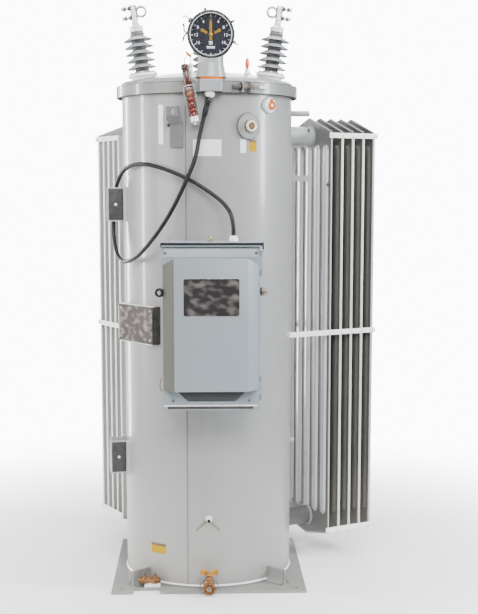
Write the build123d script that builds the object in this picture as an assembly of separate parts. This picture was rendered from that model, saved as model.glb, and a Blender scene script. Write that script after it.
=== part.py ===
from build123d import *
import math
import os

# Single-phase step voltage regulator in a round oil tank, standing on a square base plate.
# Millimetres, +Z up, origin on the tank axis at the underside of the base plate.
# The front, with the control cabinet, faces -Y. Azimuths turn from +X towards +Y.
os.makedirs("parts", exist_ok=True)

# Tank
tank_r = 385
tank_wall_t = 6
floor_lip = 7
floor_t = 8
rim_z = 2213
rim_t = 18
rim_over = 17
rim_r = tank_r + rim_over

# Base plate and its gussets
base_over_x = 50
base_over_y = 50
base_width = 2 * (tank_r + base_over_x)
base_depth = 2 * (tank_r + base_over_y)
base_thick = 12
hold_down_in = 45
hold_down_hole_r = 10
notch_in = 97
notch_width = 120
notch_depth = 50
gusset_reach = 95
gusset_height = 66
gusset_t = 12

# Cover and its clamp band
lip_t = 19
lip_w = 11
cover_t = 5
knuckle_in = 17
knuckle_up = 45
knuckle_z = rim_z + knuckle_up
crown_rise = 12
crown_up = 93
crown_z = rim_z + crown_up
band_over = 8
band_r = rim_r + band_over
band_t = 4
band_gap = 34
band_azimuth = -67
seat_gap = 0.3

# Bushings
bushing_in = 99
bushing_x = tank_r - bushing_in
bushing_y = 30
rear_bushing_in = 150
rear_bushing_y = tank_r - rear_bushing_in
bushing_up = 52
bushing_base_z = rim_z + bushing_up
bushing_tilt = 8
flange_r = 52
flange_h = 40
core_r = 34
shed_r = 66
shed_count = 6
shed_pitch = 31
shed_first = 16
cap_r = 30
cap_h = 22
stem_r = 8
stem_h = 38
clamp_w = 26
clamp_h = 66
clamp_d = 22
eye_r = 22
eye_wire_r = 4.5
bolt_r = 5
bolt_l = 42

# Position indicator
dial_x = 15
dial_up = 218
dial_z = rim_z + dial_up
housing_r = 97
housing_out = 15
housing_front = -tank_r - housing_out
housing_depth = 100
pocket_r = 88
pocket_depth = 30
dial_t = 3
dial_clear = 0.3
glass_t = 3
bezel_t = 5
bezel_inner_r = 84
arbor_r = 4
arbor_fit = 0.05
hub_r = 9
hub_l = 9
hub_gap = 6
needle_len = 70
needle_w = 11
needle_t = 2.5
pedestal_r = 66
pedestal_top_r = 54
pedestal_taper = 58
pedestal_back = 28
pedestal_y = housing_front + pedestal_back
gasket_up = 28
gasket_z = rim_z + gasket_up
gasket_t = 13
junction_w = 96
junction_h = 50
junction_out = 58
junction_front = -band_r - junction_out
plug_in = 28
plug_y = junction_front + plug_in

# Control cabinet
cabinet_x = 9
cabinet_w = 395
cabinet_low = 868
cabinet_high = 1553
cabinet_out = 47
cabinet_deep = 200
cabinet_back = -tank_r - cabinet_out
cabinet_front = cabinet_back - cabinet_deep
sheet_t = 3
door_t = 3
door_gap = 5.5
door_lip = 6
hood_reach = 60
hood_right = 2
hood_x = cabinet_x + hood_right
hood_up = 83
hood_foot_down = 80
hood_face_down = 52
hood_foot_w = cabinet_w + 1
hood_face_in = 45
hood_face_w = hood_foot_w - 2 * hood_face_in
hood_foot_low = cabinet_low + hood_up
hood_foot_high = cabinet_high - hood_foot_down
hood_face_low = hood_foot_low
hood_face_high = cabinet_high - hood_face_down
shroud_in = 58
shroud_taper = 42
shroud_up = 35
shroud_top_w = hood_foot_w - 2 * shroud_in
shroud_low_w = shroud_top_w - 2 * shroud_taper
shroud_low = cabinet_low + shroud_up
latch_down = 194
latch_z = cabinet_high - latch_down
latch_r = 19
latch_hole_r = 11
knob_in = 32
knob_out = 26
knob_r = 16
knob_neck_r = 9
rail_in = 78
rail_low_up = 90
rail_high_down = 60
cap_left_over = 8
cap_right_over = 20
cap_front_over = 26
cap_t = 13
door_pin_r = 5
door_pin_fit = 0.05
knuckle_len = 60
plate_w = 229
plate_h = 153
plate_right = 3
plate_down = 210
plate_x = cabinet_x + plate_right
plate_z = cabinet_high - plate_down
plate_t = 2
mount_rail_w = 60

# Control cable
cable_r = 9
gland_r = 18
gland_h = 22
gland_right = 99
gland_in = 68
plug_r = 11.5
plug_len = 80

# Radiators
bank_azimuths = {"right": 28, "left": 118}
fin_count = 5
fin_out = 172
fin_first = tank_r + fin_out
fin_pitch = 60
fin_width = 390
fin_low = 130
fin_down = 165
fin_high = rim_z - fin_down
fin_peak_low = 45
fin_peak_high = 74
fin_t = 3
flute_count = 5
flute_w = 46
flute_top_w = 26
flute_rise = 8
flute_low = 212
flute_end = 56
flute_high = fin_high - flute_end
header_r = 45
header_low_z = 182
header_down = 179
header_high_z = rim_z - header_down
header_fit = 0.3
strap_w = 24
strap_t = 6
strap_low_z = 144
strap_mid_z = 1110
strap_high_z = header_high_z - 1
strap_over = 16
pipe_over = 26

# Fittings on the tank
lug_w = 57
lug_down = 81
lug_h = 171
lug_high = rim_z - lug_down
lug_low = lug_high - lug_h
lug_t = 12
lug_out = 42
lug_hole_r = 13
lug_hole_down = 24
lug_knee = 95
lug_rise = 35
lug_azimuths = {"front": -110, "rear": 70}
hanger_azimuth = 188
hanger_low_z = 479
hanger_high_z = 1640
hanger_h = 152
hanger_half = 45
hanger_out = 76
hanger_t = 7
hanger_foot = 32
hanger_hole_r = 8
side_pin_down = 87
side_pin_z = rim_z - side_pin_down
side_pin_r = 12.5
side_pin_out = 83
side_bar_down = 380
side_bar_z = rim_z - side_bar_down
side_bar_out = 81
side_knob_z = 608
side_knob_out = 21
boss_azimuth = -62.9
boss_down = 161
boss_z = rim_z - boss_down
boss_r = 54
boss_t = 12
plug_knob_r = 23.5
plug_square_r = 12
gauge_azimuth = -46.8
gauge_down = 69
gauge_z = rim_z - gauge_down
gauge_pad_r = 32
gauge_r = 20
earth_z = 331
earth_r = 15
earth_out = 14
flag_x = 181
flag_y = -60
flag_up = 105
flag_h = 52
flag_low = rim_z + flag_up
flag_high = flag_low + flag_h
drain_z = 36
drain_reach = 98
drain_r = 22
drain_plug_r = 29
bonnet_in = 36
bonnet_r = 17
bonnet_h = 48
spindle_r = 6
spindle_fit = 0.05
handle_rise = 54
handle_h = 14
wing_r = 17
wing_x = 25
connector_in_x = 169
connector_in_y = 74
connector_x = -base_width / 2 + connector_in_x
connector_y = -base_depth / 2 + connector_in_y
connector_half = 50
connector_r = 20
arrester_out = 47
arrester_up = 93
arrester_drop = 139
arrester_top = (-98, -tank_r - arrester_out, rim_z + arrester_up)
arrester_low = (-54, -tank_r - arrester_out - 2, rim_z - arrester_drop)
arrester_r = 15
arrester_shed_r = 19
arrester_bracket_w = 28
arrester_arm_t = 12
side_azimuth = -144
side_w = 274
side_low = 1104
side_high = 1271
side_out = 15
side_t = 5
side_plate_t = 2


def turn(shape, azimuth):
    """Swings a shape made on the +X side round the tank axis."""
    return Rot(0, 0, azimuth) * shape


def post(radius, low, high, x=0, y=0):
    """Upright cylinder between two heights."""
    return Pos(x, y, low) * Cylinder(radius, high - low, align=(Align.CENTER, Align.CENTER, Align.MIN))


def block(x0, x1, y0, y1, z0, z1):
    """Box between two corners."""
    return Pos(x0, y0, z0) * Box(x1 - x0, y1 - y0, z1 - z0, align=(Align.MIN, Align.MIN, Align.MIN))


def rod(start, end, radius):
    """Cylinder between two points."""
    start, end = Vector(*start), Vector(*end)
    plane = Plane(origin=start, z_dir=end - start)
    return plane * Cylinder(radius, (end - start).length, align=(Align.CENTER, Align.CENTER, Align.MIN))


def prism(points, plane, depth):
    """Closed outline in a plane, pushed out along the plane's normal."""
    return extrude(plane * make_face(Polyline(*points, close=True)), amount=depth)


def save(shape, node):
    export_step(shape, f"parts/{node}.step")


def along_y(radius, y0, y1, x, z):
    """Cylinder whose axis runs along Y."""
    return rod((x, y0, z), (x, y1, z), radius)


# Tank
wall_low = base_thick + floor_t
tank_solid = post(tank_r, base_thick, rim_z)


def make_base():
    plate = block(-base_width / 2, base_width / 2, -base_depth / 2, base_depth / 2, 0, base_thick)
    notch_left = -base_width / 2 + notch_in
    plate -= block(notch_left, notch_left + notch_width, -base_depth / 2, -base_depth / 2 + notch_depth,
                   0, base_thick)
    hold_down_x = base_width / 2 - hold_down_in
    hold_down_y = base_depth / 2 - hold_down_in
    for x in (-hold_down_x, hold_down_x):
        for y in (-hold_down_y, hold_down_y):
            plate -= post(hold_down_hole_r, 0, base_thick, x, y)
    save(plate, "base_plate")

    foot_r = tank_r + floor_lip
    half = gusset_t / 2
    flare = [(half + 21, 0), (half + 21, 3), (half + 9, 8), (half + 3, 18), (half, 34),
             (half, gusset_height)]
    section = [(x, base_thick + z) for x, z in flare] + [(-x, base_thick + z) for x, z in reversed(flare)]
    gusset = prism(section, Plane.YZ.offset(tank_r - 60), foot_r + gusset_reach - tank_r + 60)
    gusset -= tank_solid + post(foot_r, base_thick, wall_low)
    gusset = max(gusset.solids(), key=lambda solid: solid.volume)
    save(Compound([turn(gusset, azimuth) for azimuth in (45, 135, 225, 315)]), "base_gussets")


def make_tank():
    save(post(tank_r + floor_lip, base_thick, wall_low), "tank_floor")
    wall = post(tank_r, wall_low, rim_z) + post(rim_r, rim_z - rim_t, rim_z)
    wall -= post(tank_r - tank_wall_t, wall_low, rim_z)
    save(wall, "tank_wall")


def cover_body(inset):
    """Domed cover as a solid of revolution, its skin moved inwards by inset."""
    top_z = crown_z - inset
    lip_r = rim_r - inset
    low_z = rim_z
    wall_r = rim_r - lip_w - inset
    knuckle = (wall_r - knuckle_in, knuckle_z - inset)
    middle = (knuckle[0] / 2, (top_z + knuckle[1]) / 2 + crown_rise)
    shoulder = (wall_r - knuckle_in * 0.28, knuckle_z - knuckle_in * 0.3 - inset)
    profile = make_face(Plane.XZ * (
        Line((0, low_z), (0, top_z))
        + ThreePointArc((0, top_z), middle, knuckle)
        + ThreePointArc(knuckle, shoulder, (wall_r, rim_z + lip_t + 8))
        + Line((wall_r, rim_z + lip_t + 8), (wall_r, rim_z + lip_t))
        + Line((wall_r, rim_z + lip_t), (lip_r, rim_z + lip_t))
        + Line((lip_r, rim_z + lip_t), (lip_r, low_z))
        + Line((lip_r, low_z), (0, low_z))))
    return revolve(profile, Axis.Z)


cover_solid = cover_body(0)


def make_cover():
    hollow = cover_body(cover_t) & post(rim_r - 22, rim_z, crown_z)
    save(cover_solid - hollow, "tank_cover")

    low = rim_z - rim_t - seat_gap - band_t
    high = rim_z + lip_t + seat_gap + band_t
    ring = post(band_r, low, high) - post(rim_r - lip_w + 1.5, low, high)
    ring -= post(rim_r + seat_gap, low + band_t, high - band_t)
    ring -= turn(block(0, band_r + 9, -band_gap / 2, band_gap / 2, low, high), band_azimuth)
    lug_mid = (low + high) / 2
    for side in (-1, 1):
        middle = side * (band_gap + 9) / 2
        lug = block(band_r - band_t, band_r + 26, middle - 4.5, middle + 4.5, low, high)
        lug -= rod((band_r + 14, -60, lug_mid), (band_r + 14, 60, lug_mid), 6.2)
        ring += turn(lug, band_azimuth)
    save(ring, "cover_band")

    bolt = rod((band_r + 14, -band_gap / 2 - 28, lug_mid), (band_r + 14, band_gap / 2 + 22, lug_mid), 6)
    head = Plane(origin=(band_r + 14, -band_gap / 2 - 9, lug_mid), z_dir=(0, -1, 0))
    bolt += extrude(head * RegularPolygon(10, 6), amount=9)
    nut = Plane(origin=(band_r + 14, band_gap / 2 + 9, lug_mid), z_dir=(0, 1, 0))
    bolt += extrude(nut * RegularPolygon(10, 6), amount=9)
    save(turn(bolt, band_azimuth), "cover_band_bolt")


def shed_profile():
    """Half section of one porcelain insulator: a core with thin drooping sheds."""
    points = [(0, 0), (core_r + 6, 0)]
    for number in range(shed_count):
        z = shed_first + number * shed_pitch
        points += [(core_r, z - 5), (shed_r, z - 11), (core_r, z + 5)]
    top = shed_first + (shed_count - 1) * shed_pitch + 18
    points += [(core_r - 4, top), (0, top)]
    return points, top


porcelain_points, porcelain_h = shed_profile()
bushing_places = [(-bushing_x, bushing_y, 180), (bushing_x, bushing_y, 0), (0, rear_bushing_y, 90)]


def make_bushings():
    bottom = (Align.CENTER, Align.CENTER, Align.MIN)
    flange = Cylinder(flange_r, flange_h + 40, align=(Align.CENTER, Align.CENTER, Align.MAX))
    flange = Pos(0, 0, flange_h) * flange
    flange += Pos(0, 0, flange_h - 12) * Cylinder(flange_r + 14, 12, align=bottom)

    porcelain = revolve(make_face(Plane.XZ * Polyline(*porcelain_points, close=True)), Axis.Z)
    porcelain = Pos(0, 0, flange_h) * porcelain

    top = flange_h + porcelain_h
    terminal = Pos(0, 0, top) * Cylinder(cap_r, cap_h, align=bottom)
    terminal += Pos(0, 0, top + cap_h) * Cone(cap_r - 6, stem_r + 4, 12, align=bottom)
    terminal += Pos(0, 0, top + cap_h) * Cylinder(stem_r, stem_h, align=bottom)
    clamp_z = top + cap_h + stem_h - 8
    terminal += Pos(0, 0, clamp_z) * Box(clamp_w, clamp_d, clamp_h, align=bottom)
    eye_x = -clamp_w / 2 - eye_r + 3
    eye_plane = Plane(origin=(eye_x, -eye_wire_r, clamp_z + clamp_h / 2), z_dir=(0, 1, 0))
    eye = Circle(eye_r + eye_wire_r) - Circle(eye_r - eye_wire_r)
    terminal += extrude(eye_plane * eye, amount=2 * eye_wire_r)
    for z in (clamp_z + 12, clamp_z + clamp_h - 12):
        terminal += rod((clamp_w / 2 - 4, 0, z), (clamp_w / 2 + bolt_l, 0, z), bolt_r)
        terminal += rod((clamp_w / 2 + bolt_l - 8, 0, z), (clamp_w / 2 + bolt_l, 0, z), bolt_r + 4)

    seated = cover_body(-seat_gap)
    flanges, porcelains, terminals = [], [], []
    for x, y, lean_azimuth in bushing_places:
        seat = Pos(x, y, bushing_base_z) * Rot(0, 0, lean_azimuth) * Rot(0, bushing_tilt, 0)
        foot = seat * flange - seated
        flanges.append(max(foot.solids(), key=lambda solid: solid.center().Z))
        porcelains.append(seat * porcelain)
        terminals.append(seat * terminal)
    save(Compound(flanges), "bushing_flanges")
    save(Compound(porcelains), "bushings")
    save(Compound(terminals), "terminals")


def make_indicator():
    back = housing_front + housing_depth
    housing = along_y(housing_r, housing_front, back, dial_x, dial_z)
    housing += along_y(housing_r + 4, housing_front, housing_front + 14, dial_x, dial_z)
    pocket_back = housing_front + pocket_depth
    housing -= along_y(pocket_r, housing_front, pocket_back, dial_x, dial_z)
    outer = along_y(housing_r, housing_front, back, dial_x, dial_z)
    save(housing, "indicator_housing")

    bezel = along_y(housing_r + 4, housing_front - bezel_t, housing_front, dial_x, dial_z)
    bezel -= along_y(bezel_inner_r, housing_front - bezel_t, housing_front, dial_x, dial_z)
    save(bezel, "indicator_bezel")

    glass_r = pocket_r - dial_clear
    save(along_y(glass_r, housing_front, housing_front + glass_t, dial_x, dial_z), "indicator_glass")

    dial_face = pocket_back - dial_t
    hub_back = dial_face - hub_gap
    dial = along_y(glass_r, dial_face, pocket_back, dial_x, dial_z)
    dial += along_y(arbor_r - arbor_fit, hub_back - hub_l + 3, dial_face, dial_x, dial_z)
    save(dial, "indicator_dial")

    hub_front = hub_back - hub_l
    pointer = along_y(hub_r, hub_front, hub_back, dial_x, dial_z)
    needle = prism([(-needle_w / 2, -22), (needle_w / 2, -22), (needle_w / 2, needle_len - 20),
                    (0, needle_len), (-needle_w / 2, needle_len - 20)],
                   Plane(origin=(dial_x, hub_front + needle_t, dial_z), x_dir=(1, 0, 0), z_dir=(0, -1, 0)),
                   needle_t)
    pointer += needle
    pointer -= along_y(arbor_r, hub_front + 2, hub_back, dial_x, dial_z)
    save(pointer, "indicator_pointer")

    pedestal_low = gasket_z + gasket_t
    neck = post(pedestal_top_r, pedestal_low, dial_z, dial_x, pedestal_y)
    neck += Pos(dial_x, pedestal_y, pedestal_low) * Cone(
        pedestal_r, pedestal_top_r, pedestal_taper, align=(Align.CENTER, Align.CENTER, Align.MIN))
    neck -= outer
    neck -= along_y(housing_r + 4, housing_front - 60, housing_front + 14, dial_x, dial_z)
    neck -= cover_solid
    neck = sorted(neck.solids(), key=lambda solid: solid.center().Z)[0]
    save(neck, "indicator_pedestal")

    gasket = post(junction_w / 2 + 4, gasket_z, gasket_z + gasket_t, dial_x, pedestal_y - 16)
    gasket -= cover_solid
    gasket -= post(band_r, 0, gasket_z)
    save(gasket, "pedestal_gasket")

    band_front = -math.sqrt(band_r ** 2 - (dial_x + junction_w / 2) ** 2) - seat_gap
    junction = block(dial_x - junction_w / 2, dial_x + junction_w / 2, junction_front, band_front + 6,
                     gasket_z - junction_h, gasket_z)
    junction -= post(band_r + seat_gap, 0, gasket_z)
    junction = fillet(junction.edges().filter_by(Axis.Z).group_by(Axis.Y)[0], 10)
    save(junction, "junction_box")


# Cable ends: the plug hangs under the junction box, the gland stands on the cabinet
plug_top = Vector(dial_x - 3, plug_y, gasket_z - junction_h)
plug_lean = Vector(-26, 0, -100).normalized()
socket_len = 24
plug_start = plug_top + plug_lean * socket_len
plug_end = plug_start + plug_lean * plug_len
cap_top = cabinet_high + cap_t
gland_x = cabinet_x + gland_right
gland_y = cabinet_back - gland_in
gland_top = Vector(gland_x, gland_y, cap_top + gland_h)

# Cable points as azimuth round the tank, distance off its wall and height
cable_runs = [
    (263.9, 73.6, 1917), (257.8, 88.7, 1798), (250, 94, 1672), (239.2, 86.3, 1563), (223.2, 56.5, 1475),
    (201.7, 40.1, 1457), (190.1, 49.7, 1547), (188.2, 48.5, 1669), (190.3, 38.9, 1791),
    (205.5, 29.2, 1875), (226.9, 42.3, 1898), (244.5, 44.8, 1871), (259.8, 37.7, 1824),
    (270.8, 47, 1773), (279.1, 90.9, 1720)
]


def beside_tank(azimuth, out, height):
    angle = math.radians(azimuth)
    return ((tank_r + out) * math.cos(angle), (tank_r + out) * math.sin(angle), height)


cable_route = [tuple(plug_end), tuple(plug_end + plug_lean * 80)]
cable_route += [beside_tank(*spot) for spot in cable_runs]
cable_route += [(gland_x, gland_y, gland_top.Z + 70), tuple(gland_top)]


def make_cable():
    runs = [(Vector(*cable_route[i + 1]) - Vector(*cable_route[i])) for i in range(len(cable_route) - 1)]
    radii = []
    for before, after in zip(runs, runs[1:]):
        half_turn = math.radians(before.get_angle(after)) / 2
        radii.append(0.45 * min(before.length, after.length) / math.tan(half_turn))
    print("cable runs", [round(run.length) for run in runs])
    print("cable radii", [round(radius) for radius in radii])
    path = FilletPolyline(*cable_route, radius=radii)
    start = Plane(origin=cable_route[0], z_dir=runs[0])
    cable = sweep(start * Circle(cable_r), path=path)
    print("cable volume over section times length",
          round(cable.volume / (math.pi * cable_r ** 2 * path.length), 5), "length", round(path.length))
    save(cable, "control_cable")

    socket = rod(plug_top - plug_lean * 12, plug_start, plug_r + 5)
    socket -= block(plug_top.X - 60, plug_top.X + 60, plug_top.Y - 60, plug_top.Y + 60,
                    plug_top.Z, plug_top.Z + 60)
    save(rod(plug_start, plug_end, plug_r), "cable_plug")

    gland = post(gland_r, cap_top, cap_top + gland_h * 0.45, gland_x, gland_y)
    gland += post(gland_r - 4, cap_top, cap_top + gland_h, gland_x, gland_y)
    save(Compound([socket, gland]), "cable_glands")


# Cabinet: a folded shell on a bracket, with a hooded door on a hinge pin at the right
half_w = cabinet_w / 2
shell_x0 = cabinet_x - half_w
shell_x1 = cabinet_x + half_w
door_back = cabinet_front
pin_x = shell_x1 + door_lip + door_pin_r + 2
pin_y = cabinet_front + door_pin_r + 2


def make_cabinet():
    shell = block(shell_x0, shell_x1, cabinet_front, cabinet_back, cabinet_low, cabinet_high)
    shell -= block(shell_x0 + sheet_t, shell_x1 - sheet_t, cabinet_front, cabinet_back - sheet_t,
                   cabinet_low + sheet_t, cabinet_high - sheet_t)
    save(shell, "cabinet_shell")

    cap = block(shell_x0 - cap_left_over, shell_x1 + cap_right_over, cabinet_front - cap_front_over,
                cabinet_back, cabinet_high, cap_top)
    save(cap, "cabinet_cap")

    rails = []
    rail_x = half_w - rail_in + 0.5
    for x in (cabinet_x - rail_x, cabinet_x + rail_x):
        rail = block(x - mount_rail_w / 2, x + mount_rail_w / 2, cabinet_back, 0,
                     cabinet_low + rail_low_up, cabinet_high - rail_high_down)
        rail -= block(x - mount_rail_w / 2 + 6, x + mount_rail_w / 2 - 6, cabinet_back + 6, 0,
                      0, cabinet_high)
        rail -= tank_solid
        rails.append(sorted(rail.solids(), key=lambda solid: solid.center().Y)[0])
    save(Compound(rails), "cabinet_rails")

    front = cabinet_front - door_gap
    door = block(shell_x0 - door_lip, shell_x1 + door_lip, front - door_t, front, cabinet_low - 3,
                 cabinet_high - 6)
    face = Plane.XZ.offset(-front + door_t + hood_reach)
    foot = Plane.XZ.offset(-front + door_t)

    def hood(shrink):
        base = foot * Pos(cabinet_x, (hood_foot_low + hood_foot_high) / 2) * Rectangle(
            hood_foot_w - shrink, hood_foot_high - hood_foot_low - shrink)
        tip = face * Pos(hood_x, (hood_face_low + hood_face_high) / 2) * Rectangle(
            hood_face_w - shrink, hood_face_high - hood_face_low - shrink)
        return loft([base, tip])

    door += hood(0)
    face_y = front - door_t - hood_reach
    leaf_y = front - door_t
    shroud = []
    for z, width, y in ((hood_foot_low, shroud_top_w, face_y + 8), (shroud_low, shroud_low_w, leaf_y - 4)):
        middle = Plane.XY.offset(z) * Pos(hood_x, (y + leaf_y) / 2)
        shroud.append(middle * Rectangle(width, leaf_y - y))
    door += loft(shroud)
    inner = hood(2 * sheet_t + 2)
    inner = Pos(0, sheet_t, 0) * inner
    door -= inner
    door -= block(cabinet_x - hood_foot_w / 2 + 8, cabinet_x + hood_foot_w / 2 - 8, leaf_y - 1, front,
                  hood_foot_low + 8, hood_foot_high - 8)
    knuckles = [(cabinet_low + 60, cabinet_low + 60 + knuckle_len),
                (cabinet_high - 44 - knuckle_len, cabinet_high - 44)]
    for low, high in knuckles:
        door += block(shell_x1 + door_lip - 1, pin_x, leaf_y, leaf_y + door_t, low, high)
        door += block(pin_x - door_pin_r - 4, pin_x, leaf_y, pin_y, low, high) & block(
            shell_x1 + door_lip - 1, pin_x, leaf_y, pin_y, low, high)
        door += post(door_pin_r + 4, low, high, pin_x, pin_y)
        door -= post(door_pin_r, low, high, pin_x, pin_y)
    save(door, "cabinet_door")

    hinges = []
    for low, high in knuckles:
        hinge = post(door_pin_r - door_pin_fit, low - 16, high + 16, pin_x, pin_y)
        for z0, z1 in ((low - 22, low - 0.5), (high + 0.5, high + 22)):
            hinge += post(door_pin_r + 4, z0, z1, pin_x, pin_y)
            hinge += block(shell_x1, pin_x, pin_y, pin_y + 5, z0, z1)
        hinge += block(shell_x1, shell_x1 + 4, pin_y, pin_y + 46, low - 22, high + 22)
        hinges.append(hinge)
    save(Compound(hinges), "cabinet_hinges")

    plate = block(plate_x - plate_w / 2, plate_x + plate_w / 2, face_y - plate_t, face_y,
                  plate_z - plate_h / 2, plate_z + plate_h / 2)
    plate = fillet(plate.edges().filter_by(Axis.Y), 8)
    save(plate, "door_nameplate")

    staple_x = shell_x0 - (latch_r + latch_hole_r) / 2 + 1
    ring = Circle(latch_r) - Circle(latch_hole_r)
    staple = extrude(Plane(origin=(staple_x, leaf_y, latch_z), z_dir=(0, 1, 0)) * ring, amount=door_t)
    staple -= block(shell_x0 - door_lip, cabinet_x, leaf_y - 1, leaf_y + door_t + 1,
                    latch_z - latch_r, latch_z + latch_r)
    save(staple.solids()[0], "door_latch_ring")

    knob_y = cabinet_front + knob_in
    knob_tip = shell_x1 + knob_out
    knob = rod((shell_x1, knob_y, latch_z), (knob_tip, knob_y, latch_z), knob_neck_r)
    knob += rod((knob_tip - 14, knob_y, latch_z), (knob_tip, knob_y, latch_z), knob_r)
    save(knob, "cabinet_side_knob")


def flute_outline(length, width):
    """Long outline with rounded ends, drawn with a few straight edges."""
    half = width / 2
    top = length / 2
    end = [(half, top - half), (half * 0.71, top - half * 0.29), (0, top),
           (-half * 0.71, top - half * 0.29), (-half, top - half)]
    return make_face(Polyline(*end, *[(-x, -y) for x, y in end], close=True))


def make_fin():
    """One pressed radiator panel: a flat sheet with a gabled outline and raised vertical flutes."""
    half = fin_width / 2
    outline = [(-half, fin_low), (0, fin_low - fin_peak_low), (half, fin_low), (half, fin_high),
               (0, fin_high + fin_peak_high), (-half, fin_high)]
    fin = prism(outline, Plane.YZ.offset(-fin_t / 2), fin_t)
    spacing = fin_width / (flute_count + 0.4)
    length = flute_high - flute_low
    middle = (flute_high + flute_low) / 2
    for number in range(flute_count):
        v = (number - (flute_count - 1) / 2) * spacing
        for side in (-1, 1):
            plane = Plane(origin=(side * fin_t / 2, v, middle), x_dir=(0, 1, 0), z_dir=(side, 0, 0))
            lower = plane * flute_outline(length, flute_w)
            upper = plane.offset(flute_rise) * flute_outline(length - flute_w + flute_top_w, flute_top_w)
            fin += loft([lower, upper])
    for z in (header_low_z, header_high_z):
        fin -= rod((-30, 0, z), (30, 0, z), header_r + header_fit)
    return fin


def make_radiators():
    fin = make_fin()
    last = fin_first + (fin_count - 1) * fin_pitch
    end = last + pipe_over
    strap_end = last + strap_over + 2
    pipes, straps = [], []
    for name, azimuth in bank_azimuths.items():
        fins = [turn(Pos(fin_first + number * fin_pitch, 0, 0) * fin, azimuth)
                for number in range(fin_count)]
        save(Compound(fins), f"radiator_{name}_fins")
        for z in (header_low_z, header_high_z):
            pipe = rod((0, 0, z), (end, 0, z), header_r) - tank_solid
            pipes.append(turn(pipe, azimuth))
        for z in (strap_low_z, strap_mid_z, strap_high_z):
            for side in (-1, 1):
                middle = side * (fin_width + strap_t) / 2
                start = 0 if z == strap_mid_z else fin_first - strap_over
                strap = block(start, strap_end, middle - strap_t / 2, middle + strap_t / 2,
                              z - strap_w / 2, z + strap_w / 2)
                straps.append(turn(strap - tank_solid, azimuth))
    save(Compound(pipes), "radiator_headers")
    save(Compound(straps), "radiator_straps")


def make_lugs():
    lugs = []
    for azimuth in lug_azimuths.values():
        knee = lug_low + lug_knee
        elbow = knee + lug_rise
        outline = [(tank_r - 5, lug_low), (tank_r + lug_t, lug_low), (tank_r + lug_t, knee),
                   (tank_r + lug_out + lug_t, elbow), (tank_r + lug_out + lug_t, lug_high),
                   (tank_r + lug_out, lug_high), (tank_r + lug_out, elbow + 4),
                   (tank_r - 5, knee + 3)]
        lug = prism(outline, Plane.XZ.offset(-lug_w / 2), lug_w)
        hole_z = lug_high - lug_hole_down
        lug -= rod((tank_r, 0, hole_z), (tank_r + lug_out + 2 * lug_t, 0, hole_z), lug_hole_r)
        lug -= tank_solid
        lugs.append(turn(lug, azimuth))
    save(Compound(lugs), "lifting_lugs")


def make_hangers():
    out = tank_r + hanger_out
    inner = hanger_half
    outer = hanger_half + hanger_t
    foot = outer + hanger_foot
    hangers = []
    for low in (hanger_low_z, hanger_high_z):
        high = low + hanger_h
        body = block(tank_r - inner, out, -outer, outer, low, high)
        body -= block(tank_r - inner, out - hanger_t, -inner, inner, low, high)
        for y0, y1 in ((-foot, -inner), (inner, foot)):
            body += block(tank_r - 20, tank_r + hanger_t, y0, y1, low, high)
        body -= tank_solid
        body -= rod((tank_r + 40, -200, low + hanger_h / 2), (tank_r + 40, 200, low + hanger_h / 2),
                    hanger_hole_r)
        body = max(body.solids(), key=lambda solid: solid.volume)
        hangers.append(turn(body, hanger_azimuth))
    save(Compound(hangers), "cable_hangers")


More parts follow.
